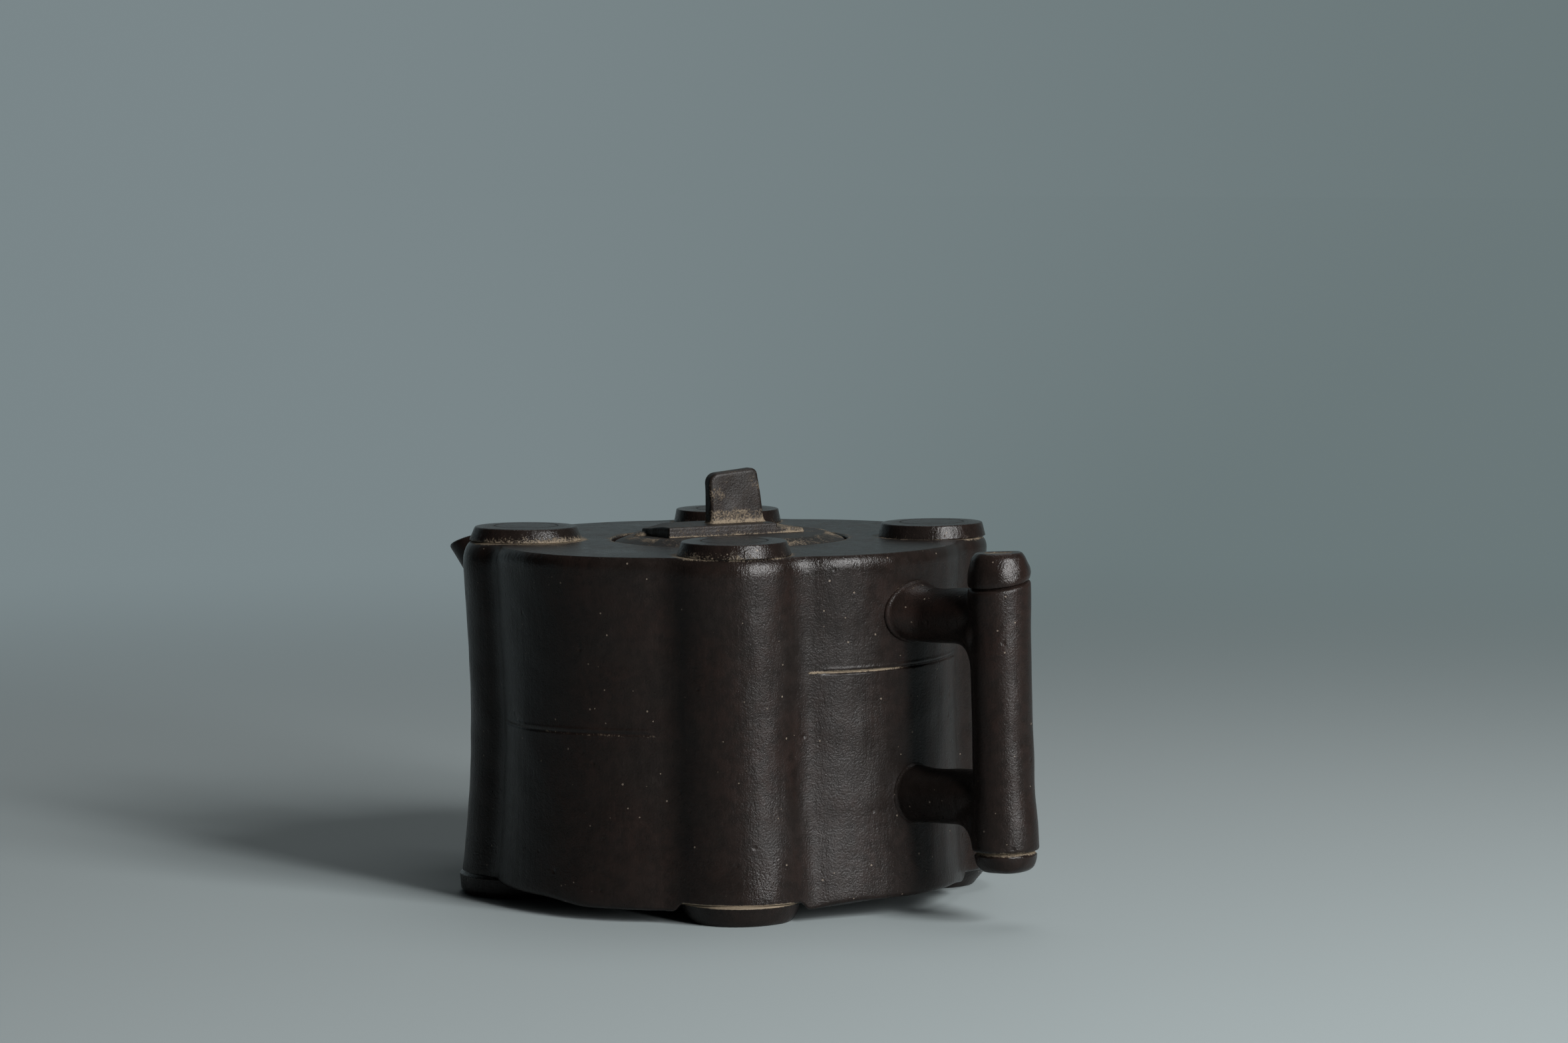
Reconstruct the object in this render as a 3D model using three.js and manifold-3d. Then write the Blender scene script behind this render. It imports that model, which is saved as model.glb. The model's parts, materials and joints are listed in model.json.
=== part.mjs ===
// A bamboo-bundle teapot of unglazed stoneware: four narrow corner columns and four wide lobes
// carry a flat top with a sunk round lid. The handle is a bamboo stalk on two struts, along +X,
// and the spout rises along -X. Millimetres, +Z up, origin on the pot's axis at the feet's soles.

import * as THREE from 'three';
import { mergeVertices } from 'three/addons/utils/BufferGeometryUtils.js';
import Module from 'manifold-3d';

const wasm = await Module();
wasm.setup();

// Body plan
const LOBE_OFFSET = 15.1; // pot axis to the centre of a lobe's arc
const LOBE_RADIUS = 37.3;
const COLUMN_INSET = 10.4; // a column's axis is this much nearer the pot's axis than a lobe's crest
const COLUMN_RADIUS = 16.5;
const COLUMN_SETBACK = 4.0; // the centre of a column's arc is this much nearer than its axis
const VALLEY_RADIUS = 10.0; // concave fillet between a column and a lobe

// Body section
const FOOT_HEIGHT = 4.3;
const RIM_DROP = 1.5; // the lobes reach this far below the joint of column and foot
const BODY_HEIGHT = 70.2;
const WALL_THICKNESS = 3.2;
const BASE_THICKNESS = 3.4;
const TOP_THICKNESS = 3.0;
const WAIST_INSET = 1.6; // how far the wall draws in at half height
const TOP_ROUND = 1.4;
const BOTTOM_ROUND = 1.2;
const FOOT_RECESS_CLEARANCE = 2.9; // recess in the base around each foot

// Corner caps and feet
const CAP_HEIGHT = 2.9;
const CAP_TOP_RADIUS = 10.7;
const CAP_EDGE_ROUND = 0.6;
const CAP_OVER_EDGE = 0.5; // the cap reaches this far over the rounded edge of its column
const CAP_RING_RADIUS = 6.8;
const CAP_RING_GROOVE = 0.35;
const FOOT_TOP_RADIUS = 11.1;
const FOOT_SOLE_RADIUS = 10.0;
const FOOT_EDGE = 0.5;

// Lid
const LID_RADIUS = 23.9;
const LID_SIDE_GAP = 0.5;
const LID_SEAT_GAP = 0.3;
const LID_RISE = 1.1; // lid top above the pot's flat top
const LID_BEVEL_WIDTH = 3.8;
const LID_BEVEL_DROP = 1.3;
const LID_TURN_DEG = -20; // the lid as it sits in the photograph
const LID_LEDGE = 3.6; // width of the ring that the lid rests on
const SEAT_THICKNESS = 2.6;
const SEAT_LUTE = 2.6; // seat ring's overlap under the flat top
const FLANGE_GAP = 0.5;
const FLANGE_DEPTH = 6.0;
const FLANGE_THICKNESS = 2.4;
const VENT_RADIUS = 1.0;
const VENT_MARGIN = 3.0; // vent's edge to the plinth's long side

// Plinth and knob on the lid
const PLINTH_LENGTH = 31.0;
const PLINTH_WIDTH = 13.2;
const PLINTH_LOWER_HEIGHT = 1.2;
const PLINTH_UPPER_HEIGHT = 0.9;
const PLINTH_STEP = 6.2; // at the far end only, where the upper tier stops short
const PLINTH_SHIFT = -1.4; // hand-set a little off the lid's middle, along its length
const KNOB_LENGTH = 11.2;
const KNOB_THICKNESS = 3.2;
const KNOB_HEIGHT = 10.8;
const KNOB_SLOPE = 0.9; // rise of the knob's top from one end to the other
const KNOB_NEAR_DRAFT = 0.2; // how far the lower end leans in towards the top
const KNOB_FAR_DRAFT = 1.0; // how far the higher end leans in towards the top
const KNOB_CORNER = 1.7;
const KNOB_SHIFT = 1.0; // off the lid's middle, along the plinth

// Handle
const GRIP_REACH = 22.2; // a lobe's crest to the grip's axis, at half height
const GRIP_LEAN_DEG = 1.5; // the lower end leans outwards
const GRIP_BOTTOM = 11.2;
const GRIP_OVER_TOP = 0.9; // the grip's upper end above the pot's flat top
const GRIP_END_RADIUS = 6.55;
const GRIP_WAIST_RADIUS = 6.0;
const GRIP_CAP_TOP_HEIGHT = 5.9;
const GRIP_CAP_BOTTOM_HEIGHT = 3.4;
const GRIP_CAP_FACE_RADIUS = 4.6;
const GRIP_NODE_GAP = 0.3; // joint between the grip and its caps
const GRIP_NODE_BEVEL = 0.5;
const UPPER_STRUT_DROP = 13.3; // from the grip's upper end to the strut's axis
const LOWER_STRUT_RISE = 13.2; // from the grip's lower end to the strut's axis
const STRUT_RADIUS = 5.3;
const UPPER_ROOT_FLARE = 1.9;
const LOWER_ROOT_FLARE = 0.8;
const STRUT_ROOT_LENGTH = 4.0;
const STRUT_GRIP_FLARE = 0.7;
const STRUT_GRIP_LENGTH = 2.5;

// Spout
const SPOUT_ROOT_HEIGHT = 38.0;
const SPOUT_RISE_START = 13.5; // height gained before the bend
const SPOUT_BEND_REACH = 9.1; // a lobe's crest to the bend
const SPOUT_MOUTH_REACH = 26.0; // a lobe's crest to the middle of the mouth
const SPOUT_MOUTH_DROP = 4.3; // the pot's flat top above the middle of the mouth
const SPOUT_MOUTH_TILT_DEG = 20; // the lip is lowest at its outer end
const SPOUT_ROOT_RADIUS = 10.6;
const SPOUT_TIP_RADIUS = 4.3;
const SPOUT_ROOT_WALL = 3.2;
const SPOUT_TIP_WALL = 1.5;
const SPOUT_TAPER_POWER = 1.7;
const STRAINER_HOLE_RADIUS = 1.5;
const STRAINER_RING_RADIUS = 4.4;
const STRAINER_RING_HOLES = 6;

const JOINT_GAP = 0.3; // between a piece and the neighbour that it is cut to fit

// Offsets and heights that follow
const CREST = LOBE_OFFSET + LOBE_RADIUS;
const COLUMN_OFFSET = CREST - COLUMN_INSET;
const GRIP_OFFSET = CREST + GRIP_REACH;
const SPOUT_BEND_OFFSET = CREST + SPOUT_BEND_REACH;
const SPOUT_MOUTH_OFFSET = CREST + SPOUT_MOUTH_REACH;
const BODY_BOTTOM = FOOT_HEIGHT - RIM_DROP;
const BODY_TOP = BODY_BOTTOM + BODY_HEIGHT;
const BASE_TOP = BODY_BOTTOM + BASE_THICKNESS;
const TOP_UNDERSIDE = BODY_TOP - TOP_THICKNESS;
const MOUTH_RADIUS = LID_RADIUS + LID_SIDE_GAP;
const SEAT_INNER_RADIUS = MOUTH_RADIUS - LID_LEDGE;
const FLANGE_RADIUS = SEAT_INNER_RADIUS - FLANGE_GAP;
const LID_UNDERSIDE = TOP_UNDERSIDE + LID_SEAT_GAP;
const LID_TOP = BODY_TOP + LID_RISE;
const PLINTH_MIDDLE = LID_TOP + PLINTH_LOWER_HEIGHT;
const PLINTH_TOP = PLINTH_MIDDLE + PLINTH_UPPER_HEIGHT;
const SPOUT_MOUTH_HEIGHT = BODY_TOP - SPOUT_MOUTH_DROP;
const GRIP_TOP = BODY_TOP + GRIP_OVER_TOP;
const GRIP_LENGTH = GRIP_TOP - GRIP_BOTTOM;

// Mesh fineness
const LOBE_STEPS = 12;
const COLUMN_STEPS = 12;
const VALLEY_STEPS = 3;
const WALL_LEVELS = 8;
const INNER_LEVELS = 4;
const ROUND_STEPS = 3;
const DISC_SEGMENTS = 32;
const LID_SEGMENTS = 56;
const HANDLE_SEGMENTS = 24;
const SPOUT_STATIONS = 10;
const HOLE_SEGMENTS = 10;

const clay = new THREE.MeshStandardMaterial({ color: 0x251e1b, roughness: 0.4, metalness: 0 });

const radians = THREE.MathUtils.degToRad;

// Closed-body helpers

function weld(geometry) {
  geometry.deleteAttribute('normal');
  geometry.deleteAttribute('uv');
  const merged = mergeVertices(geometry, 1e-4);
  const index = merged.index.array;
  const kept = [];
  for (let i = 0; i < index.length; i += 3) {
    const [a, b, c] = [index[i], index[i + 1], index[i + 2]];
    if (a !== b && b !== c && c !== a) kept.push(a, b, c);
  }
  merged.setIndex(kept);
  return merged;
}

function toManifold(geometry) {
  return new wasm.Manifold(new wasm.Mesh({
    numProp: 3,
    vertProperties: new Float32Array(geometry.attributes.position.array),
    triVerts: new Uint32Array(geometry.index.array),
  }));
}

function toGeometry(manifold) {
  const mesh = manifold.getMesh();
  const geometry = new THREE.BufferGeometry();
  geometry.setAttribute('position', new THREE.BufferAttribute(mesh.vertProperties, 3));
  geometry.setIndex(Array.from(mesh.triVerts));
  return geometry;
}

function cut(geometry, tools) {
  let solid = toManifold(geometry);
  for (const tool of tools) solid = solid.subtract(toManifold(tool));
  return toGeometry(solid);
}

// Joins rings of equal length, first to last. A wrapped loft closes on its first ring, another
// one gets a fan over each end.
function loft(rings, wrapped) {
  const count = rings[0].length;
  const points = rings.flat();
  const faces = [];
  const spans = wrapped ? rings.length : rings.length - 1;
  for (let i = 0; i < spans; i++) {
    const low = i * count;
    const high = ((i + 1) % rings.length) * count;
    for (let j = 0; j < count; j++) {
      const k = (j + 1) % count;
      faces.push(low + j, low + k, high + k, low + j, high + k, high + j);
    }
  }
  if (!wrapped) {
    const last = (rings.length - 1) * count;
    const bottom = points.push(middle(rings[0])) - 1;
    const top = points.push(middle(rings.at(-1))) - 1;
    for (let j = 0; j < count; j++) {
      const k = (j + 1) % count;
      faces.push(bottom, k, j, top, last + j, last + k);
    }
  }
  const geometry = new THREE.BufferGeometry().setFromPoints(points);
  geometry.setIndex(faces);
  return weld(geometry);
}

function middle(ring) {
  const sum = ring.reduce((total, point) => total.add(point), new THREE.Vector3());
  return sum.divideScalar(ring.length);
}

// Turns a profile of [radius, height] pairs about +Z
function lathe(profile, segments) {
  const points = profile.map(([radius, height]) => new THREE.Vector2(radius, height));
  return weld(new THREE.LatheGeometry(points, segments).rotateX(Math.PI / 2));
}

function latheRing(profile, segments) {
  return lathe([...profile, profile[0]], segments);
}

// Turns a profile of [radius, distance] pairs about +X
function latheAlongX(profile, segments) {
  return lathe(profile, segments).rotateY(Math.PI / 2);
}

function named(name, geometry) {
  const mesh = new THREE.Mesh(geometry, clay.clone());
  mesh.name = name;
  return mesh;
}

// Body plan: the outline of columns, lobes and valleys, moved inwards by inset

function arc(centre, radius, from, to, steps) {
  return Array.from({ length: steps }, (_, i) => {
    const angle = from + (to - from) * i / steps;
    return new THREE.Vector2(radius, 0).rotateAround(new THREE.Vector2(), angle).add(centre);
  });
}

function outline(inset) {
  const column = new THREE.Vector2(COLUMN_OFFSET - COLUMN_SETBACK, 0)
    .rotateAround(new THREE.Vector2(), Math.PI / 4);
  const lobe = new THREE.Vector2(LOBE_OFFSET, 0);
  const columnRadius = COLUMN_RADIUS - inset;
  const lobeRadius = LOBE_RADIUS - inset;
  const valleyRadius = VALLEY_RADIUS + inset;
  const apart = lobe.distanceTo(column);
  const toValley = columnRadius + valleyRadius;
  const along = (toValley ** 2 - (lobeRadius + valleyRadius) ** 2 + apart ** 2) / (2 * apart);
  const aside = Math.sqrt(toValley ** 2 - along ** 2);
  const inwards = lobe.clone().sub(column).normalize();
  const sideways = new THREE.Vector2(-inwards.y, inwards.x);
  const valley = column.clone().addScaledVector(inwards, along).addScaledVector(sideways, aside);
  const angleTo = (from, to) => to.clone().sub(from).angle();
  const lobeEnd = angleTo(lobe, valley);
  const valleyStart = angleTo(valley, lobe);
  const valleyEnd = angleTo(valley, column);
  const toStart = valley.clone().sub(column);
  const columnStart = Math.atan2(toStart.y, toStart.x);
  const mirrored = (angle) => Math.PI / 2 - angle;
  const quadrant = [
    ...arc(lobe, lobeRadius, -lobeEnd, lobeEnd, LOBE_STEPS),
    ...arc(valley, valleyRadius, valleyStart, valleyEnd, VALLEY_STEPS),
    ...arc(column, columnRadius, columnStart, mirrored(columnStart), COLUMN_STEPS),
    ...arc(new THREE.Vector2(valley.y, valley.x), valleyRadius,
      mirrored(valleyEnd), mirrored(valleyStart), VALLEY_STEPS),
  ];
  const centre = new THREE.Vector2();
  return [0, 1, 2, 3].flatMap((turn) =>
    quadrant.map((point) => point.clone().rotateAround(centre, turn * Math.PI / 2)));
}

function outlineRing(inset, height) {
  return outline(inset).map((point) => new THREE.Vector3(point.x, point.y, height));
}

// A circle whose points lie on the same rays as the outline's
function circleRing(radius, height) {
  return outline(0).map((point) => {
    const onCircle = point.clone().setLength(radius);
    return new THREE.Vector3(onCircle.x, onCircle.y, height);
  });
}

function waistInset(height) {
  const fromMiddle = 2 * (height - BODY_BOTTOM) / BODY_HEIGHT - 1;
  return WAIST_INSET * (1 - fromMiddle ** 2);
}

function wallRing(height, depth) {
  return outlineRing(waistInset(height) + depth, height);
}

function levels(from, to, count) {
  return Array.from({ length: count + 1 }, (_, i) => from + (to - from) * i / count);
}

function quarterRound(radius, steps) {
  return levels(0, Math.PI / 2, steps).map((angle) => ({
    inset: radius * (1 - Math.cos(angle)),
    rise: radius * Math.sin(angle),
  }));
}

function columnPlaces() {
  const names = ['handle_left', 'spout_left', 'spout_right', 'handle_right'];
  return names.map((name, i) => {
    const angle = Math.PI / 4 + i * Math.PI / 2;
    return {
      name,
      x: COLUMN_OFFSET * Math.cos(angle),
      y: COLUMN_OFFSET * Math.sin(angle),
    };
  });
}

// Body

// The outside of the body with a clearance around it, to cut what is luted to the wall
function bodyEnvelope(clearance) {
  const rings = levels(BODY_BOTTOM, BODY_TOP, WALL_LEVELS)
    .map((height) => wallRing(height, -clearance));
  return loft(rings, false);
}

function strainerHoles() {
  const centres = [[0, 0]];
  for (let i = 0; i < STRAINER_RING_HOLES; i++) {
    const angle = 2 * Math.PI * i / STRAINER_RING_HOLES;
    centres.push([STRAINER_RING_RADIUS * Math.sin(angle), STRAINER_RING_RADIUS * Math.cos(angle)]);
  }
  const length = 4 * WALL_THICKNESS;
  const profile = [[0, 0], [STRAINER_HOLE_RADIUS, 0], [STRAINER_HOLE_RADIUS, length], [0, length]];
  return centres.map(([y, z]) => latheAlongX(profile, HOLE_SEGMENTS)
    .translate(-CREST - WALL_THICKNESS, y, SPOUT_ROOT_HEIGHT + z));
}

function bodyWall() {
  const outside = levels(BASE_TOP, TOP_UNDERSIDE, WALL_LEVELS).map((height) => wallRing(height, 0));
  const inside = levels(TOP_UNDERSIDE, BASE_TOP, INNER_LEVELS)
    .map((height) => wallRing(height, WALL_THICKNESS));
  return cut(loft([...outside, ...inside], true), strainerHoles());
}

function basePlate() {
  const edge = quarterRound(BOTTOM_ROUND, ROUND_STEPS).reverse().map(({ inset, rise }) => {
    const height = BODY_BOTTOM + BOTTOM_ROUND - rise;
    return wallRing(height, inset);
  });
  const plate = loft([...edge, wallRing(BASE_TOP, 0)], false);
  const radius = FOOT_TOP_RADIUS + FOOT_RECESS_CLEARANCE;
  const recess = [[0, -RIM_DROP], [radius, -RIM_DROP], [radius, FOOT_HEIGHT], [0, FOOT_HEIGHT]];
  return cut(plate, columnPlaces().map(({ x, y }) =>
    lathe(recess, DISC_SEGMENTS).translate(x, y, 0)));
}

function topPlate() {
  const edge = quarterRound(TOP_ROUND, ROUND_STEPS).map(({ inset, rise }) => {
    const height = BODY_TOP - TOP_ROUND + rise;
    return wallRing(height, inset);
  });
  return loft([
    wallRing(TOP_UNDERSIDE, 0),
    ...edge,
    circleRing(MOUTH_RADIUS, BODY_TOP),
    circleRing(MOUTH_RADIUS, TOP_UNDERSIDE),
  ], true);
}

function seatRing() {
  const outer = MOUTH_RADIUS + SEAT_LUTE;
  const bottom = TOP_UNDERSIDE - SEAT_THICKNESS;
  return latheRing([
    [SEAT_INNER_RADIUS, bottom],
    [outer, bottom],
    [outer, TOP_UNDERSIDE],
    [SEAT_INNER_RADIUS, TOP_UNDERSIDE],
  ], LID_SEGMENTS);
}

function cornerCap() {
  const underside = COLUMN_RADIUS - COLUMN_SETBACK - TOP_ROUND + CAP_OVER_EDGE;
  const ring = CAP_RING_RADIUS;
  return lathe([
    [0, 0],
    [underside, 0],
    [underside, CAP_EDGE_ROUND],
    [CAP_TOP_RADIUS, CAP_HEIGHT - CAP_EDGE_ROUND],
    [CAP_TOP_RADIUS - CAP_EDGE_ROUND, CAP_HEIGHT],
    [ring + CAP_RING_GROOVE, CAP_HEIGHT],
    [ring, CAP_HEIGHT - CAP_RING_GROOVE],
    [ring - CAP_RING_GROOVE, CAP_HEIGHT],
    [0, CAP_HEIGHT],
  ], DISC_SEGMENTS);
}

function foot() {
  return lathe([
    [0, 0],
    [FOOT_SOLE_RADIUS - FOOT_EDGE, 0],
    [FOOT_SOLE_RADIUS, FOOT_EDGE],
    [FOOT_TOP_RADIUS, FOOT_HEIGHT - FOOT_EDGE],
    [FOOT_TOP_RADIUS - FOOT_EDGE, FOOT_HEIGHT],
    [0, FOOT_HEIGHT],
  ], DISC_SEGMENTS);
}

// Handle

function gripRadius(fraction) {
  const fromMiddle = 2 * fraction - 1;
  return GRIP_WAIST_RADIUS + (GRIP_END_RADIUS - GRIP_WAIST_RADIUS) * fromMiddle ** 2;
}

const GRIP_STALK_BOTTOM = GRIP_CAP_BOTTOM_HEIGHT + GRIP_NODE_GAP;
const GRIP_STALK_TOP = GRIP_LENGTH - GRIP_CAP_TOP_HEIGHT - GRIP_NODE_GAP;
const GRIP_STALK_STEPS = 6;

// Heights in the grip's own frame, from its lower end
function gripStalk(clearance) {
  const bevel = GRIP_NODE_BEVEL;
  const side = levels(GRIP_STALK_BOTTOM + bevel, GRIP_STALK_TOP - bevel, GRIP_STALK_STEPS)
    .map((height) => [gripRadius(height / GRIP_LENGTH) + clearance, height]);
  return lathe([
    [0, GRIP_STALK_BOTTOM],
    [GRIP_END_RADIUS - bevel + clearance, GRIP_STALK_BOTTOM],
    ...side,
    [GRIP_END_RADIUS - bevel + clearance, GRIP_STALK_TOP],
    [0, GRIP_STALK_TOP],
  ], HANDLE_SEGMENTS);
}

function gripCap(height) {
  const bevel = GRIP_NODE_BEVEL;
  return lathe([
    [0, 0],
    [GRIP_END_RADIUS - bevel, 0],
    [GRIP_END_RADIUS, bevel],
    [GRIP_END_RADIUS - bevel / 2, height / 2],
    [GRIP_CAP_FACE_RADIUS + 2 * bevel, height - bevel],
    [GRIP_CAP_FACE_RADIUS, height],
    [0, height],
  ], HANDLE_SEGMENTS);
}

// Puts a geometry of the grip's own frame into the pot's frame
function placeOnGrip(geometry) {
  return geometry
    .translate(0, 0, -GRIP_LENGTH / 2)
    .rotateY(-radians(GRIP_LEAN_DEG))
    .translate(GRIP_OFFSET, 0, GRIP_BOTTOM + GRIP_LENGTH / 2);
}

function gripAxisOffset(height) {
  const below = GRIP_BOTTOM + GRIP_LENGTH / 2 - height;
  return GRIP_OFFSET + below * Math.tan(radians(GRIP_LEAN_DEG));
}

function strut(height, rootFlare) {
  const wall = CREST - waistInset(height);
  const start = wall - WALL_THICKNESS;
  const end = gripAxisOffset(height);
  const grip = end - GRIP_WAIST_RADIUS;
  const profile = [
    [0, start],
    [STRUT_RADIUS + rootFlare, start],
    [STRUT_RADIUS + rootFlare, wall + STRUT_ROOT_LENGTH / 8],
    [STRUT_RADIUS + rootFlare / 3, wall + STRUT_ROOT_LENGTH / 2],
    [STRUT_RADIUS, wall + STRUT_ROOT_LENGTH],
    [STRUT_RADIUS, grip - STRUT_GRIP_LENGTH],
    [STRUT_RADIUS + STRUT_GRIP_FLARE, grip],
    [STRUT_RADIUS + STRUT_GRIP_FLARE, end],
    [0, end],
  ];
  const blank = latheAlongX(profile, HANDLE_SEGMENTS).translate(0, 0, height);
  return cut(blank, [bodyEnvelope(JOINT_GAP), placeOnGrip(gripStalk(JOINT_GAP))]);
}

// Spout

function spoutPath() {
  const start = CREST - WALL_THICKNESS;
  return new THREE.QuadraticBezierCurve3(
    new THREE.Vector3(-start, 0, SPOUT_ROOT_HEIGHT),
    new THREE.Vector3(-SPOUT_BEND_OFFSET, 0, SPOUT_ROOT_HEIGHT + SPOUT_RISE_START),
    new THREE.Vector3(-SPOUT_MOUTH_OFFSET, 0, SPOUT_MOUTH_HEIGHT),
  );
}

function spoutRing(path, fraction, radius) {
  const centre = path.getPoint(fraction);
  const along = path.getTangent(fraction);
  const across = new THREE.Vector3(0, 1, 0);
  const up = new THREE.Vector3().crossVectors(along, across);
  return Array.from({ length: HANDLE_SEGMENTS }, (_, i) => {
    const angle = 2 * Math.PI * i / HANDLE_SEGMENTS;
    return centre.clone()
      .addScaledVector(across, radius * Math.cos(angle))
      .addScaledVector(up, radius * Math.sin(angle));
  });
}

// The tube runs on past its root and its mouth. The wall's outside cuts it at the root, and a
// nearly level plane cuts it at the mouth
function spout() {
  const path = spoutPath();
  const swell = (fraction) => (1 - fraction) ** SPOUT_TAPER_POWER;
  const outer = (fraction) => SPOUT_TIP_RADIUS
    + (SPOUT_ROOT_RADIUS - SPOUT_TIP_RADIUS) * swell(fraction);
  const wall = (fraction) => SPOUT_TIP_WALL + (SPOUT_ROOT_WALL - SPOUT_TIP_WALL) * swell(fraction);
  const stations = levels(0, 1, SPOUT_STATIONS);
  const extended = (rings) => {
    const behind = path.getTangent(0).multiplyScalar(-SPOUT_ROOT_RADIUS);
    const past = path.getTangent(1).multiplyScalar(SPOUT_TIP_RADIUS);
    const moved = (ring, shift) => ring.map((point) => point.clone().add(shift));
    return [moved(rings[0], behind), ...rings, moved(rings.at(-1), past)];
  };
  const outside = extended(stations.map((fraction) =>
    spoutRing(path, fraction, outer(fraction))));
  const inside = extended(stations.map((fraction) =>
    spoutRing(path, fraction, outer(fraction) - wall(fraction))));
  const tube = loft([...outside, ...inside.toReversed()], true);
  const above = new THREE.BoxGeometry(BODY_HEIGHT, BODY_HEIGHT, BODY_HEIGHT)
    .translate(0, 0, BODY_HEIGHT / 2)
    .rotateY(-radians(SPOUT_MOUTH_TILT_DEG))
    .translate(-SPOUT_MOUTH_OFFSET, 0, SPOUT_MOUTH_HEIGHT);
  return cut(tube, [bodyEnvelope(JOINT_GAP), weld(above)]);
}

// Lid, in a frame whose Y axis runs along the plinth

function lidPlate() {
  const plate = lathe([
    [0, LID_UNDERSIDE],
    [LID_RADIUS, LID_UNDERSIDE],
    [LID_RADIUS, LID_TOP - LID_BEVEL_DROP],
    [LID_RADIUS - LID_BEVEL_WIDTH, LID_TOP],
    [0, LID_TOP],
  ], LID_SEGMENTS);
  const bottom = LID_UNDERSIDE - VENT_RADIUS;
  const top = LID_TOP + VENT_RADIUS;
  const drill = lathe([[0, bottom], [VENT_RADIUS, bottom], [VENT_RADIUS, top], [0, top]],
    HOLE_SEGMENTS);
  drill.translate(-PLINTH_WIDTH / 2 - VENT_MARGIN - VENT_RADIUS, 0, 0);
  return cut(plate, [drill]);
}

function lidFlange() {
  const inner = FLANGE_RADIUS - FLANGE_THICKNESS;
  const bottom = LID_UNDERSIDE - FLANGE_DEPTH;
  return latheRing([
    [inner, bottom],
    [FLANGE_RADIUS, bottom],
    [FLANGE_RADIUS, LID_UNDERSIDE],
    [inner, LID_UNDERSIDE],
  ], LID_SEGMENTS);
}

function plinthTier(length, bottom, height) {
  const near = PLINTH_SHIFT - PLINTH_LENGTH / 2;
  const box = new THREE.BoxGeometry(PLINTH_WIDTH, length, height);
  return weld(box.translate(0, near + length / 2, bottom + height / 2));
}

function knob() {
  const half = KNOB_LENGTH / 2;
  const low = KNOB_HEIGHT - KNOB_SLOPE / 2;
  const high = KNOB_HEIGHT + KNOB_SLOPE / 2;
  const near = -half + KNOB_NEAR_DRAFT;
  const far = half - KNOB_FAR_DRAFT;
  const face = new THREE.Shape();
  face.moveTo(-half, 0);
  face.lineTo(half, 0);
  face.lineTo(far, high - KNOB_CORNER);
  face.quadraticCurveTo(far, high, far - KNOB_CORNER, high);
  face.lineTo(near + KNOB_CORNER, low);
  face.quadraticCurveTo(near, low, near, low - KNOB_CORNER);
  face.closePath();
  const slab = new THREE.ExtrudeGeometry(face, {
    depth: KNOB_THICKNESS, bevelEnabled: false, curveSegments: 4,
  });
  slab.translate(0, 0, -KNOB_THICKNESS / 2).rotateX(Math.PI / 2).rotateZ(Math.PI / 2);
  return weld(slab.translate(0, KNOB_SHIFT, PLINTH_TOP));
}

// Assembly

const pot = new THREE.Group();
pot.add(named('body_wall', bodyWall()));
pot.add(named('base_plate', basePlate()));
pot.add(named('top_plate', topPlate()));
pot.add(named('lid_seat_ring', seatRing()));
for (const { name, x, y } of columnPlaces()) {
  const cap = named(`corner_cap_${name}`, cornerCap());
  cap.position.set(x, y, BODY_TOP);
  const sole = named(`foot_${name}`, foot());
  sole.position.set(x, y, 0);
  pot.add(cap, sole);
}
pot.add(named('spout', spout()));

const handle = new THREE.Group();
handle.add(named('grip', placeOnGrip(gripStalk(0))));
handle.add(named('grip_cap_top', placeOnGrip(
  gripCap(GRIP_CAP_TOP_HEIGHT).translate(0, 0, GRIP_LENGTH - GRIP_CAP_TOP_HEIGHT))));
handle.add(named('grip_cap_bottom', placeOnGrip(
  gripCap(GRIP_CAP_BOTTOM_HEIGHT).rotateX(Math.PI).translate(0, 0, GRIP_CAP_BOTTOM_HEIGHT))));
handle.add(named('strut_upper', strut(GRIP_TOP - UPPER_STRUT_DROP, UPPER_ROOT_FLARE)));
handle.add(named('strut_lower', strut(GRIP_BOTTOM + LOWER_STRUT_RISE, LOWER_ROOT_FLARE)));
pot.add(handle);

const lid = new THREE.Group();
lid.rotation.z = radians(LID_TURN_DEG);
lid.add(named('lid_plate', lidPlate()));
lid.add(named('lid_flange', lidFlange()));
lid.add(named('plinth_lower', plinthTier(PLINTH_LENGTH, LID_TOP, PLINTH_LOWER_HEIGHT)));
lid.add(named('plinth_upper',
  plinthTier(PLINTH_LENGTH - PLINTH_STEP, PLINTH_MIDDLE, PLINTH_UPPER_HEIGHT)));
lid.add(named('knob', knob()));
pot.add(lid);

export default pot;
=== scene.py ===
import itertools
import json
import math

import bmesh
import bpy
import numpy as np
from mathutils import Matrix, Vector

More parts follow.
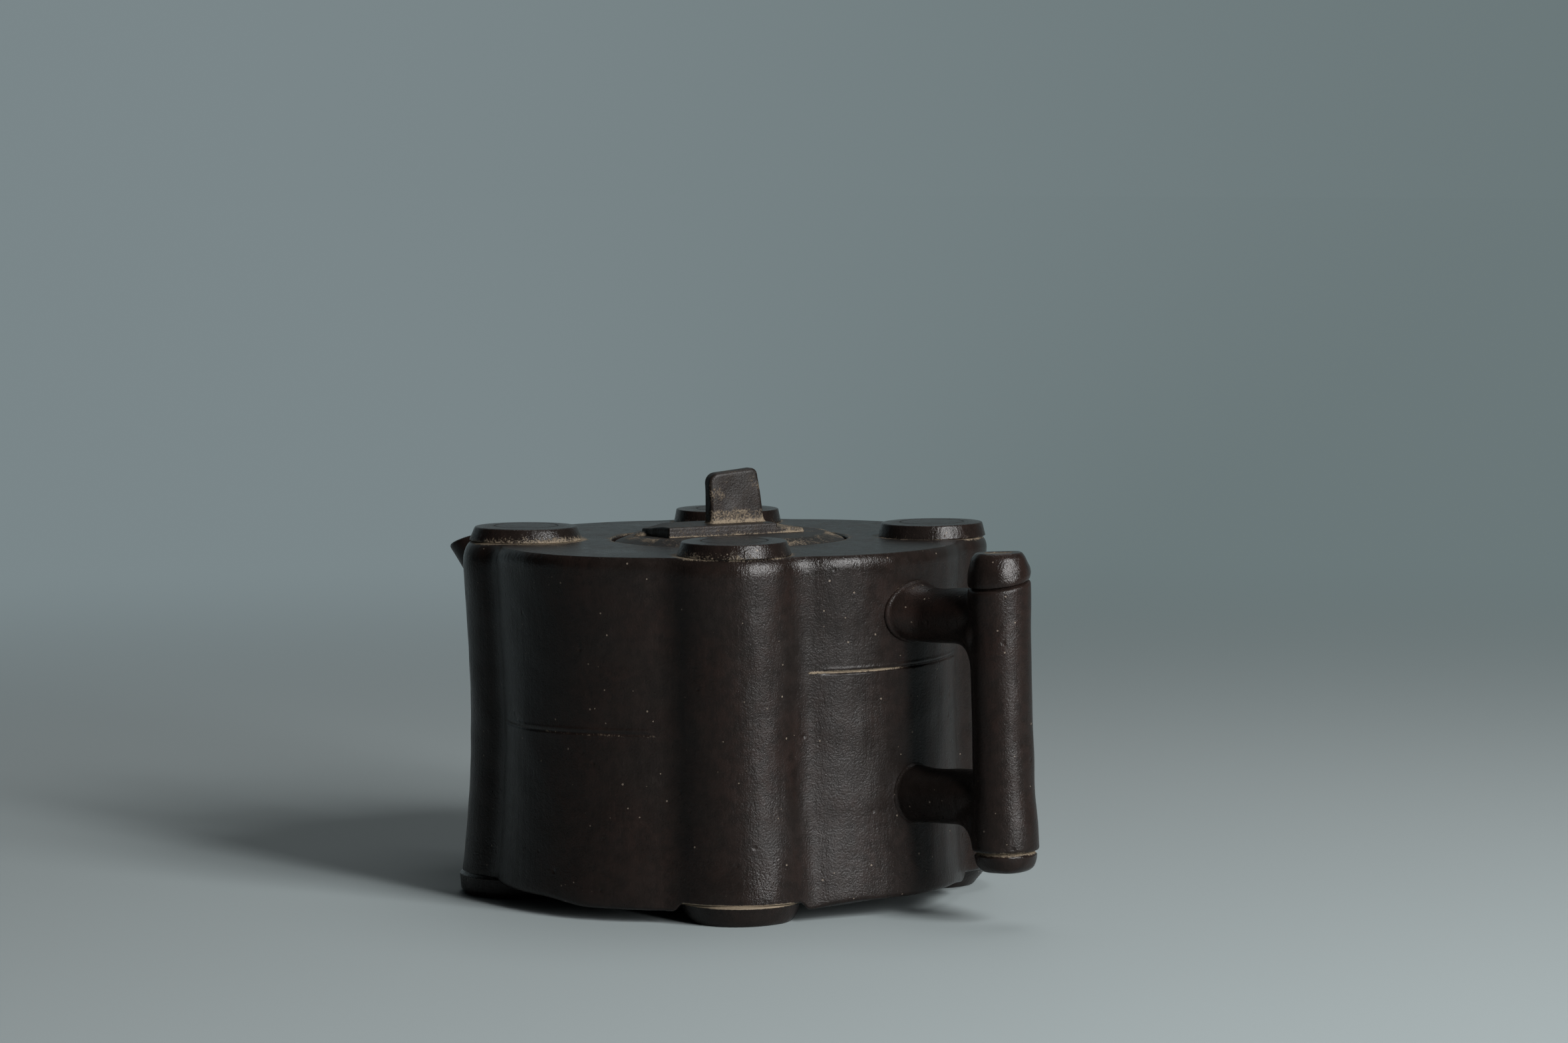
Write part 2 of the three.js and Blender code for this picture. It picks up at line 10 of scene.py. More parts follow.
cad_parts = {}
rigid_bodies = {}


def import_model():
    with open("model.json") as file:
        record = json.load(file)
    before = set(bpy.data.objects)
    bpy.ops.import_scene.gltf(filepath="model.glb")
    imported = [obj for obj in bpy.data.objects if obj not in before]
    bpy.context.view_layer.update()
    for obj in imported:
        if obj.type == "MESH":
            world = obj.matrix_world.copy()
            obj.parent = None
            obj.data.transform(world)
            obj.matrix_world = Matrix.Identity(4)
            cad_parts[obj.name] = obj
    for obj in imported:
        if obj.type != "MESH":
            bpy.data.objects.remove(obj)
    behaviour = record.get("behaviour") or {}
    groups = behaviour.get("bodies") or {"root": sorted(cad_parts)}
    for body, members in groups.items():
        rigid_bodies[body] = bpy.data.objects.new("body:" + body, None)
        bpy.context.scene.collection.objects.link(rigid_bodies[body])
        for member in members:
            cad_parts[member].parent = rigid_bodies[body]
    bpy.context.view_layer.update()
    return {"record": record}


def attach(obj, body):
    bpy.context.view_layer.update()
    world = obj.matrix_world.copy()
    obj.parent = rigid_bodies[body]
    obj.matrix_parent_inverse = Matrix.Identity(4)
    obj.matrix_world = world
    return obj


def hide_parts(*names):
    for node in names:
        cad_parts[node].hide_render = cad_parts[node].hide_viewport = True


# A bamboo-bundle teapot of unglazed stoneware. The pot's lengths are millimetres up to the making
# of a mesh, those of camera, lights, floor and bump are metres.

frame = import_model()

MM = 0.001

# Body plan and section
LOBE_OFFSET = 15.1
LOBE_RADIUS = 37.3
CREST = LOBE_OFFSET + LOBE_RADIUS
COLUMN_OFFSET = 42.0
COLUMN_SETBACK = 4.0
COLUMN_RADIUS = 16.4
VALLEY_RADIUS = 10.0
BODY_BOTTOM = 2.6
BODY_TOP = 73.0
WALL = 3.2
BASE_TOP = 6.2
TOP_UNDERSIDE = 70.0
WAIST_INSET = 1.6
FOOT_HEIGHT = 4.3
FOOT_RADIUS = 11.8
BOTTOM_ROUND = 1.2
MOUTH_RADIUS = 24.4
MOUTH_ROUND = 0.5

# Corner columns: the photograph's right, back, left and front one
COLUMN_NAMES = ["handle_left", "spout_left", "spout_right", "handle_right"]
# Values at the four columns, and between them
EDGE_ROUND = (0.9, 1.2, 0.35, 0.5), BOTTOM_ROUND
SHOULDER_DROP = (2.6, 2.6, 5.6, 3.9), 2.9
SHOULDER_IN = (1.3, 1.3, 2.3, 1.6), 1.2
SHOULDER_END = (1.15, 1.15, 1.4, 1.15), 1.0  # radians of the arc that the shoulder turns through
# Distances from a column's axis over which its foot lifts the lower edge
EDGE_LIFT = [(16.2, 14.6), (16.2, 14.6), (20.5, 15.5), (15.1, 13.9)]

# Caps: base radius, top radius, rounding of the top edge, shift aside, lean in degrees
CAP_SHAPES = [(11.1, 10.4, 0.3, 0.0, (0.2, -0.2)), (11.45, 10.9, 0.2, 0.3, (-0.2, 0.2)),
              (11.7, 10.5, 0.4, -0.05, (-0.4, 0.2)), (11.45, 10.5, 0.25, 0.3, (0.2, 0.2))]
CAP_HEIGHT = 2.95
CAP_GROOVE = 6.6  # radius of the ring scored in a cap's top

# Feet: sole radius, top radius, shift aside, shift towards the camera
FOOT_SHAPES = [(8.8, 11.4, 0.15, -2.5), (10.1, 11.2, 0.0, 0.0), (12.9, 13.3, -1.2, 1.9),
               (10.8, 12.2, 1.0, 0.3)]

# Node lines scored across the lobes: lobe direction in degrees, height, depth
NODE_LINES = [(0, 49.9, 0.34), (90, 34.0, 0.26), (180, 21.5, 0.28), (270, 37.4, 0.16)]
NODE_HALF_WIDTH = 0.42

# Lid
LID_RADIUS = 23.9
LID_UNDERSIDE = 70.3
LID_TOP = 74.1
LID_EDGE_TOP = 72.55
LID_BEVEL_RADIUS = 20.5  # inner edge of the bevelled shoulder
LID_TURN = math.radians(-20)
VENT_RADIUS = 1.0
VENT_OFFSET = 4.0  # vent to the plinth's long side
PLINTH_START = -16.9
PLINTH_LOWER_END = 14.1
PLINTH_UPPER_END = 7.9
PLINTH_HALF_WIDTH = 6.6
PLINTH_MIDDLE = 75.3
PLINTH_TOP = 76.2
SLUMP_MIDDLE = (-5.6, PLINTH_START - 0.2, LID_TOP)  # of a lump of clay at the plinth's foot
SLUMP_SIZE = (1.9, 2.1, 1.35)
KNOB_HEIGHT = 10.8
KNOB_HALF_THICKNESS = 1.6
KNOB_SHIFT = 1.0  # off the lid's middle, along the plinth
KNOB_ENDS = (-5.75, 6.45)
KNOB_DRAFTS = (-0.4, -1.55)  # how far the ends have moved at the top
KNOB_CORNERS = (2.1, 1.35)
KNOB_EDGE = 0.75
KNOB_SLOPE = 0.9

# Handle
GRIP_OFFSET = 74.6
GRIP_LEAN = math.radians(1.5)
GRIP_BOTTOM = 11.2
GRIP_TOP = 73.9
GRIP_LENGTH = GRIP_TOP - GRIP_BOTTOM
GRIP_MIDDLE = np.array([GRIP_OFFSET, 0, GRIP_BOTTOM + GRIP_LENGTH / 2])
GRIP_CAP_TOP = 5.9
CAP_SLANT = 0.12  # rise per length of the joint under the upper knuckle
GRIP_CAP_BOTTOM = 3.4
GRIP_END_RADIUS = 6.55
GRIP_WAIST_RADIUS = 6.0
UPPER_STRUT = 60.6
LOWER_STRUT = 24.4
STRUT_RADIUS = 5.3
STRUT_SLOPE = 0.035
STRUT_ROOT_LENGTH = 6.5
STRUT_LIP_RADIUS = 0.5

# Struts: height, half width and half height of the root, and its rise above the strut's axis
STRUT_ROOTS = [(UPPER_STRUT, 7.7, 5.9, 0.6), (LOWER_STRUT, 5.5, 5.8, 0.0)]

# Spout: points of its axis as x and z
SPOUT_ROOT_HEIGHT = 38.0
SPOUT_ROOT = (-49.2, SPOUT_ROOT_HEIGHT)
SPOUT_BEND = (-61.5, 51.5)
SPOUT_MOUTH = (-78.4, 68.7)
SPOUT_TILT = math.radians(20)
SPOUT_ROOT_RADIUS = 10.6
SPOUT_TIP_RADIUS = 4.85
SPOUT_TIP_WALL = 1.5
SPOUT_ROOT_WALL = 3.2
SPOUT_TAPER = 1.7
STRAINER_HOLE_RADIUS = 1.5
STRAINER_HOLES = (0.0, -3.8105, 3.8105)  # their places along Y

# Camera, fitted to the caps, the feet and the silhouette
PHOTO_WIDTH_PX = 2357
FOCAL_PX = 7352
SENSOR_MM = 36.0
CAMERA_AZIMUTH = math.radians(45.0)
CAMERA_DISTANCE = 1.010
CAMERA_HEIGHT = 0.157
CAMERA_PITCH = math.radians(4.57)
CAMERA_YAW = math.radians(1.50)
CAMERA_ROLL = math.radians(-0.43)
CAMERA_ASIDE = -0.0151

# Level directions: from the pot towards the camera, and to the photograph's right
VIEW_BACK = np.array([math.sin(CAMERA_AZIMUTH), -math.cos(CAMERA_AZIMUTH), 0.0])
VIEW_RIGHT = np.array([math.cos(CAMERA_AZIMUTH), math.sin(CAMERA_AZIMUTH), 0.0])

# Looks: each clay's colour, its redder tone and its roughness
CLAYS = {
    "body_clay": ((0.0098, 0.0075, 0.0065, 1), (0.0125, 0.0077, 0.0063, 1), 0.265),
    "handle_clay": ((0.0104, 0.0078, 0.0067, 1), (0.0134, 0.0079, 0.0064, 1), 0.27),
    "lid_clay": ((0.0120, 0.0098, 0.0083, 1), (0.0140, 0.0100, 0.0082, 1), 0.38),
}
GRIT_COLOUR = (0.17, 0.14, 0.11, 1)
# Colour of the pale coat: real dust, and on the tops also a painted sheen
DUST_AND_SHEEN_COLOUR = (0.17, 0.135, 0.095, 1)
# Colour of the painted shade on the plinth's end face
PAINTED_SHADE_COLOUR = (0.004, 0.0035, 0.003, 1)
BUMP_DEPTH = 0.0003
FLOOR_COLOUR = (0.265, 0.303, 0.308, 1)
FLOOR_REACH = 8.0
BACKDROP_COLOUR = (0.196, 0.240, 0.252, 1)
BACKDROP_DARKER = (0.145, 0.185, 0.190, 1)
AMBIENT_COLOUR = (0.75, 0.82, 0.85, 1)
AMBIENT_STRENGTH = 0.018

# Softboxes: azimuth and elevation in degrees, distance, size, power
LIGHTS = {
    "key": (43, 32, 1.1, (0.34, 0.44), 13.2),
    "strip": (34, 15, 1.1, (0.13, 0.5), 9.4),
    "overhead": (150, 72, 1.2, (0.7, 0.7), 3.2),
}
LIGHT_AIM = 0.04  # height of the point that they face


# Numbers

def ramp(low, high, value):
    """A smooth step from 0 at low to 1 at high, or down where high is the smaller."""
    t = np.clip((value - low) / (high - low), 0.0, 1.0)
    return t * t * (3 - 2 * t)


def smooth_min(a, b, k):
    """The smaller of two distances, with a fillet about k wide where they meet."""
    h = np.clip(0.5 + 0.5 * (b - a) / k, 0.0, 1.0)
    return b * (1 - h) + a * h - k * h * (1 - h)


def smooth_max(a, b, k):
    """The larger of two distances, rounded in the same way."""
    return -smooth_min(-a, -b, k)


def rounded_edge(outside, rounding):
    """Distance from the body inside all of the given distances, its edges rounded."""
    grown = outside + np.asarray(rounding)[..., None]
    return np.linalg.norm(np.maximum(grown, 0), axis=-1) + np.minimum(grown.max(-1), 0) - rounding


def wobble(points, size, seed):
    """A smooth random field of about -1 to 1 whose waves are about size long."""
    rng = np.random.default_rng(seed)
    total = np.zeros(points.shape[:-1])
    for _ in range(9):
        way = rng.normal(size=3)
        way *= 2 * math.pi / (size * np.linalg.norm(way)) * rng.uniform(0.6, 1.5)
        total += np.sin(points @ way + rng.uniform(0, 2 * math.pi))
    return total / 4


def off_axis(points):
    """Distance from +Z."""
    return np.hypot(points[..., 0], points[..., 1])


# Meshes

def add_object(name, data):
    thing = bpy.data.objects.new(name, data)
    bpy.context.scene.collection.objects.link(thing)
    return thing


def add_piece(name, vertices, faces, body, nodes, slot, smooth_angle=40):
    mesh = bpy.data.meshes.new(name)
    mesh.from_pydata([tuple(v) for v in np.asarray(vertices) * MM], [], faces)
    work = bmesh.new()
    work.from_mesh(mesh)
    bmesh.ops.remove_doubles(work, verts=work.verts, dist=1e-7)
    bmesh.ops.recalc_face_normals(work, faces=work.faces)
    work.to_mesh(mesh)
    work.free()
    mesh.shade_smooth()
    mesh.set_sharp_from_angle(angle=math.radians(smooth_angle))
    piece = add_object(name, mesh)
    if body:
        mesh.materials.append(clays[slot])
        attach(piece, body)
    if nodes:
        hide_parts(*nodes)
    return piece


def positions(piece):
    """A piece's vertices in millimetres."""
    mesh = piece.data
    flat = np.empty(len(mesh.vertices) * 3)
    mesh.vertices.foreach_get("co", flat)
    return flat.reshape(-1, 3) / MM


def paint(piece, name, values):
    """Keeps a number for each vertex, for the material to read."""
    attribute = piece.data.attributes.new(name, "FLOAT", "POINT")
    attribute.data.foreach_set("value", np.clip(values, 0, 1).astype(np.float32))


def lofted(rings):
    """Vertices and faces of a closed body over rings, each end a fan to its ring's middle."""
    count = len(rings[0])
    vertices = np.concatenate([np.concatenate(rings), [rings[0].mean(0), rings[-1].mean(0)]])
    end = (len(rings) - 1) * count
    first, last = end + count, end + count + 1
    faces = []
    for start in range(0, end, count):
        for j in range(count):
            k = (j + 1) % count
            faces.append((start + j, start + k, start + count + k, start + count + j))
    for j in range(count):
        k = (j + 1) % count
        faces += [(first, k, j), (last, end + j, end + k)]
    return vertices, faces


def rounded(corners):
    """A profile of [radius, height, rounding] corners as points, each corner an arc of 5 steps."""
    points = []
    for i, (r, z, rounding) in enumerate(corners):
        here = np.array([r, z])
        if rounding == 0 or i in (0, len(corners) - 1):
            points.append(here)
            continue
        before = np.array(corners[i - 1][:2]) - here
        after = np.array(corners[i + 1][:2]) - here
        start = here + before / np.linalg.norm(before) * rounding
        end = here + after / np.linalg.norm(after) * rounding
        for t in np.linspace(0, 1, 6):
            points.append((1 - t) ** 2 * start + 2 * t * (1 - t) * here + t * t * end)
    return np.array(points)


def turned(profile, count):
    """Rings about +Z of a profile of radius and height, its first and last point on the axis."""
    angles = np.arange(count) * 2 * math.pi / count
    circle = np.stack([np.cos(angles), np.sin(angles), np.zeros(count)], 1)
    return [circle * radius + [0, 0, height] for radius, height in profile[1:-1]]


def surface_net(distance, low, high, step):
    """Meshes the zero surface of a distance function: one vertex in each cell that it crosses."""
    axes = [np.arange(a, b + step, step) for a, b in zip(low, high)]
    grid = np.stack(np.meshgrid(*axes, indexing="ij"), -1)
    field = distance(grid)
    inside = field < 0
    shape = np.array(field.shape) - 1
    total = np.zeros((*shape, 3))
    hits = np.zeros(shape)
    for axis in range(3):
        along = np.eye(3, dtype=int)[axis]
        for corner in itertools.product(*(range(2 - way) for way in along)):
            near = tuple(slice(s, s + n) for s, n in zip(corner, shape))
            far = tuple(slice(s, s + n) for s, n in zip(corner + along, shape))
            cross = inside[near] != inside[far]
            t = np.where(cross, field[near] / np.where(cross, field[near] - field[far], 1), 0)
            hits += cross
            for i in range(3):
                total[..., i] += np.where(cross, t if i == axis else corner[i], 0)
    active = hits > 0
    index = np.full(shape, -1)
    index[active] = np.arange(active.sum())
    base = np.stack(np.nonzero(active), 1)
    vertices = (base + total[active] / hits[active][:, None]) * step + np.array(low)
    faces = []
    for axis in range(3):
        others = [i for i in range(3) if i != axis]
        near = [slice(1, n) for n in shape]
        far = list(near)
        near[axis], far[axis] = slice(0, shape[axis]), slice(1, shape[axis] + 1)
        cross = np.stack(np.nonzero(inside[tuple(near)] != inside[tuple(far)]), 1)
        cross[:, others[0]] += 1
        cross[:, others[1]] += 1
        corners = []
        for a, b in ((0, 0), (1, 0), (1, 1), (0, 1)):
            cell = cross.copy()
            cell[:, others[0]] -= a
            cell[:, others[1]] -= b
            corners.append(index[tuple(cell.T)])
        faces.append(np.stack(corners, 1))
    nudge = 0.05
    for _ in range(3):  # steps from the cells' middles onto the true surface
        value = distance(vertices)
        slope = np.stack([(distance(vertices + np.eye(3)[i] * nudge) - value) / nudge
                          for i in range(3)], 1)
        length = np.maximum((slope ** 2).sum(1), 0.2)
        vertices = vertices - np.clip(value / length, -step, step)[:, None] * slope * 0.8
    return vertices, [tuple(face) for face in np.concatenate(faces).tolist()]


# Hand-made departures from the drawn shape, in the directions of the photograph's view

def hand_shift(points):
    """The left column stands out, the right one is drawn in and the front one leans."""
    aside = points @ VIEW_RIGHT
    height = points[..., 2] / BODY_TOP
    pinch = 0.5 * np.exp(-((points[..., 2] - 36) / 14) ** 2)
    left = (pinch - 1.9 + 0.7 * height) * ramp(43, 54, -aside)
    right = -(0.2 + 0.55 * height) * ramp(36, 52, aside)
    front = (1.1 - height) * ramp(24, 40, points @ VIEW_BACK)
    return points + (left + right + front)[..., None] * VIEW_RIGHT


# Body

def angle_to(start, end):
    """The direction from one plan point to another, from 0 to 2 pi."""
    return math.atan2(end[1] - start[1], end[0] - start[0]) % (2 * math.pi)


def outline():
    """Points and outward normals of the body's plan, and how far along its lobe each point is."""
    column = (COLUMN_OFFSET - COLUMN_SETBACK) * np.array([1, 1]) / math.sqrt(2)
    lobe = np.array([LOBE_OFFSET, 0.0])
    apart = np.linalg.norm(column - lobe)
    to_column = COLUMN_RADIUS + VALLEY_RADIUS
    along = (to_column ** 2 - (LOBE_RADIUS + VALLEY_RADIUS) ** 2 + apart ** 2) / (2 * apart)
    aside = math.sqrt(to_column ** 2 - along ** 2)
    inwards = (lobe - column) / apart
    valley = column + inwards * along + np.array([-inwards[1], inwards[0]]) * aside
    lobe_end = angle_to(lobe, valley)
    column_start = math.atan2(valley[1] - column[1], valley[0] - column[0])
    arcs = [
        (lobe, LOBE_RADIUS, -lobe_end, lobe_end, 64, 1),
        (valley, VALLEY_RADIUS, angle_to(valley, lobe), angle_to(valley, column), 9, -1),
        (column, COLUMN_RADIUS, column_start, math.pi / 2 - column_start, 40, 1),
        (valley[::-1], VALLEY_RADIUS, math.pi / 2 - angle_to(valley, column),
         math.pi / 2 - angle_to(valley, lobe), 9, -1),
    ]
    points, normals, lobe_share = [], [], []
    for centre, radius, start, end, steps, side in arcs:
        for i in range(steps):
            angle = start + (end - start) * i / steps
            way = np.array([math.cos(angle), math.sin(angle)])
            points.append(centre + radius * way)
            normals.append(side * way)
            lobe_share.append(angle / lobe_end if radius == LOBE_RADIUS else 2.0)
    all_points, all_normals, all_shares = [], [], []
    for turn in range(4):
        c, s = round(math.cos(turn * math.pi / 2)), round(math.sin(turn * math.pi / 2))
        rotate = np.array([[c, s], [-s, c]])
        all_points.append(np.array(points) @ rotate)
        all_normals.append(np.array(normals) @ rotate)
        all_shares.append(np.array(lobe_share))
    return np.concatenate(all_points), np.concatenate(all_normals), np.concatenate(all_shares)


def column_axes():
    return [COLUMN_OFFSET * np.array([math.cos(a), math.sin(a)])
            for a in (math.pi / 4 + turn * math.pi / 2 for turn in range(4))]


def near_column(plan):
    """Distance of plan points from the nearest column axis."""
    return np.min([np.linalg.norm(plan - axis, axis=-1) for axis in column_axes()], axis=0)


def by_column(plan, values, usual):
    """The usual number between the columns, which turns into each column's own towards it."""
    total = np.full(plan.shape[:-1], float(usual))
    for axis, value in zip(column_axes(), values):
        total += (value - usual) * ramp(19, 13.5, np.linalg.norm(plan - axis, axis=-1))
    return total


def waist(height):
    """How far the wall draws in at a height."""
    from_middle = 2 * (height - BODY_BOTTOM) / (BODY_TOP - BODY_BOTTOM) - 1
    return WAIST_INSET * (1 - from_middle ** 2)


def node_line_depth(heights, shares, turn):
    """Depth of the scored node line of one lobe, with a burr along its upper edge."""
    direction, level, depth = NODE_LINES[turn]
    at = heights - level - 0.25 * np.sin(shares * 2.1 + direction)
    fade = ramp(0.97, 0.88, np.abs(shares))
    cut = depth * ramp(NODE_HALF_WIDTH, 0.08, np.abs(at))
    burr = 0.09 * np.exp(-((at - 0.75) / 0.3) ** 2)
    return fade * (cut - burr)


def wall_levels():
    """Shares of the wall's height, close together at the node lines."""
    low, high = BODY_BOTTOM + BOTTOM_ROUND, BODY_TOP - SHOULDER_DROP[1]
    heights = set(np.linspace(low, high, 46).round(3))
    for _, level, _ in NODE_LINES:
        heights |= set(np.arange(level - 1.35, level + 1.75, 0.14).round(3))
    ordered = []
    for height in sorted(heights):
        if not ordered or height - ordered[-1] > 0.1:
            ordered.append(height)
    return (np.array(ordered) - low) / (high - low)


def lower_edge(plan):
    """Height of the wall's lower edge, which rises at the feet and on two of the lobes."""
    lift = np.zeros(plan.shape[:-1])
    for axis, (end, start) in zip(column_axes(), EDGE_LIFT):
        lift = np.maximum(lift, ramp(end, start, np.linalg.norm(plan - axis, axis=-1)))
    x, y = plan[..., 0], plan[..., 1]
    high_lobes = np.maximum(ramp(43, 50, x), ramp(8, -5, x) * ramp(-30, -45, y))
    return BODY_BOTTOM + np.maximum(1.1 * high_lobes, (FOOT_HEIGHT - BODY_BOTTOM) * lift)


def body_rings():
    """Rings from the underside's middle up the wall, over the top and down inside to the floor."""
    plan, normals, shares = outline()
    count = len(plan)
    quarter = count // 4
    bottom = lower_edge(plan)
    edge_round = by_column(plan, *EDGE_ROUND)
    shoulder_drop = by_column(plan, *SHOULDER_DROP)
    shoulder_in = by_column(plan, *SHOULDER_IN)
    shoulder_end = by_column(plan, *SHOULDER_END)
    outwards = plan / np.linalg.norm(plan, axis=1)[:, None]

    def ring(height, inset):
        """A ring of the wall, with its node lines and the unevenness of a hand-built wall."""
        height = np.broadcast_to(height, (count,)).astype(float)
        total = np.full(count, inset)
        for turn in range(4):
            part = slice(turn * quarter, (turn + 1) * quarter)
            total[part] += node_line_depth(height[part], shares[part], turn)
        at = plan - normals * total[:, None] - outwards * waist(height)[:, None]
        points = np.column_stack([at, height])
        swell = 0.18 * wobble(points, 26, 3) + 0.07 * wobble(points, 8, 4)
        points[:, :2] += normals * swell[:, None]
        return hand_shift(points)

    def flat(share, circle_radius, height, inset, unevenness=0.0):
        """A level ring on the way from the outline to a circle."""
        outer = plan - normals * np.broadcast_to(inset, (count,))[:, None]
        outer -= outwards * waist(height)
        at = outer * (1 - share) + outwards * circle_radius * share
        points = np.column_stack([at, np.full(count, height)])
        points[:, 2] += unevenness * wobble(points, 22, 5)
        return hand_shift(points)

    rings = []
    for share in np.linspace(0.97, 0.04, 26):
        at = outwards * 0.5 * share + (plan - normals * edge_round[:, None]) * (1 - share)
        on_foot = ramp(FOOT_RADIUS + 0.8, FOOT_RADIUS, near_column(at))
        rise = np.maximum((FOOT_HEIGHT - BODY_BOTTOM) * on_foot,
                          (lower_edge(at) - BODY_BOTTOM) * ramp(0.5, 0.0, share))
        rings.append(hand_shift(np.column_stack([at, BODY_BOTTOM + rise])))
    for angle in np.linspace(math.pi / 2, 0, 6):
        inset = edge_round * (1 - math.cos(angle))
        rings.append(ring(bottom + edge_round * (1 - math.sin(angle)), inset))
    low, high = bottom + edge_round, BODY_TOP - shoulder_drop
    for share in wall_levels()[1:-1]:
        rings.append(ring(low + share * (high - low), 0.0))
    for share in np.linspace(0, 1, 10):
        angle = share * shoulder_end
        rings.append(ring(high + shoulder_drop * np.sin(angle) / np.sin(shoulder_end),
                          shoulder_in * (1 - np.cos(angle)) / (1 - np.cos(shoulder_end))))
    for share in np.linspace(0, 1, 22)[1:]:
        rings.append(flat(share, MOUTH_RADIUS + MOUTH_ROUND, BODY_TOP, shoulder_in, 0.07))
    for angle in np.linspace(0, math.pi / 2, 4)[1:]:
        rings.append(flat(1.0, MOUTH_RADIUS + MOUTH_ROUND * (1 - math.sin(angle)),
                          BODY_TOP - MOUTH_ROUND * (1 - math.cos(angle)), 0.0))
    for share in np.linspace(1, 0, 7):
        rings.append(flat(share, MOUTH_RADIUS, TOP_UNDERSIDE, WALL))
    for height in np.linspace(TOP_UNDERSIDE, BASE_TOP, 12)[1:]:
        rings.append(flat(0.0, 1.0, height, WALL))
    for share in np.linspace(0, 0.97, 10)[1:]:
        rings.append(flat(share, 0.5, BASE_TOP, WALL))
    return rings


def drill(piece, tools):
    """Cuts closed tool meshes, given as vertices and faces, out of a piece."""
    joined_vertices, joined_faces = [], []
    for vertices, faces in tools:
        start = len(joined_vertices)
        joined_vertices.extend(vertices)
        joined_faces.extend(tuple(start + i for i in face) for face in faces)
    tool = add_piece("drill", joined_vertices, joined_faces, None, None, None)
    cut = piece.modifiers.new("cut", "BOOLEAN")
    cut.object = tool
    cut.operation = "DIFFERENCE"
    cut.solver = "EXACT"
    graph = bpy.context.evaluated_depsgraph_get()
    mesh = bpy.data.meshes.new_from_object(piece.evaluated_get(graph))
    piece.modifiers.clear()
    piece.data = mesh
    bpy.data.objects.remove(tool)


def pin(radius, start, end):
    """A closed cylinder along +Z."""
    return lofted(turned([(0, start), (radius, start), (radius, end), (0, end)], 20))


def make_body():
    vertices, faces = lofted(body_rings())
    shell = add_piece("body_shell", vertices, faces, "pot",
                      ["body_wall", "base_plate", "top_plate"], "body_clay")
    tools = []
    for y in STRAINER_HOLES:
        points, pin_faces = pin(STRAINER_HOLE_RADIUS, -CREST - 2, -CREST + 7)
        hole = [points[:, 2], y + points[:, 0], SPOUT_ROOT_HEIGHT + points[:, 1]]
        tools.append((np.column_stack(hole), pin_faces))
    drill(shell, tools)
    at = positions(shell)
    radius = off_axis(at)
    aside = at @ VIEW_RIGHT
    below_top = BODY_TOP - at[:, 2]
    on_top = ramp(0.7, 0.1, below_top)
    left_side = ramp(5, -25, aside)
    # Pale coat on the top: real dust round the caps and the mouth, mixed with a painted sheen that
    # stands for the top's grazing reflection, spread over the whole top and stronger towards the
    # view's left.
    dust_and_sheen = on_top * ramp(13.2, 11.6, near_column(at[:, :2])) * (0.42 + 0.4 * left_side)
    dust_and_sheen += on_top * 0.22
    dust_and_sheen += on_top * ramp(1.2, 0.2, np.abs(radius - MOUTH_RADIUS)) * 0.35
    for turn, (direction, level, _) in enumerate(NODE_LINES):
        way = math.radians(direction)
        across = np.abs(at[:, 1] * math.cos(way) - at[:, 0] * math.sin(way))
        out = at[:, 0] * math.cos(way) + at[:, 1] * math.sin(way)
        line = ramp(0.4, 0.12, np.abs(at[:, 2] - level + 0.1)) * (out > 38) * ramp(24, 21, across)
        strength = 0.95 * ramp(36, 30, aside) + 0.1 if turn == 0 else 0.35
        dust_and_sheen += line * strength
    to_front = np.linalg.norm(at[:, :2] - column_axes()[3], axis=1)
    dust_and_sheen += ramp(FOOT_HEIGHT + 0.45, FOOT_HEIGHT + 0.2, at[:, 2]) * ramp(14.5, 14.1, to_front) * (
        ramp(12.0, 11.5, np.abs(aside - 1.0)))
    paint(shell, "dust_and_sheen", dust_and_sheen)
    shoulder = ramp(4.5, 2.5, below_top) * ramp(0.02, 0.2, below_top)
    swelling = ramp(15, 9, at[:, 2]) * ramp(16, 13, near_column(at[:, :2]))
    paint(shell, "gloss", shoulder + swelling)


# Caps and feet

def disc(name, node, profile, place, seed, lean):
    """A turned disc of clay that a hand has pressed a little out of true."""
    rings = turned(rounded(profile), 96)
    tilt = Matrix.Rotation(math.radians(lean[0]), 3, "X") @ Matrix.Rotation(
        math.radians(lean[1]), 3, "Y")
    vertices, faces = lofted(rings)
    radius = off_axis(vertices)[:, None]
    swell = 0.14 * wobble(vertices + seed, 17, seed) + 0.05 * wobble(vertices, 5, seed + 1)
    sideways = vertices[:, :2] / np.maximum(radius, 1e-6) * np.minimum(radius / 4, 1)
    vertices[:, :2] += sideways * swell[:, None]
    vertices = vertices @ np.array(tilt).T + place
    return add_piece(name, vertices, faces, "pot", [node], "body_clay")


def shifted_axis(axis, height, aside):
    """A column's axis at a height, moved to the photograph's right."""
    return np.array([*axis, height]) + VIEW_RIGHT * aside


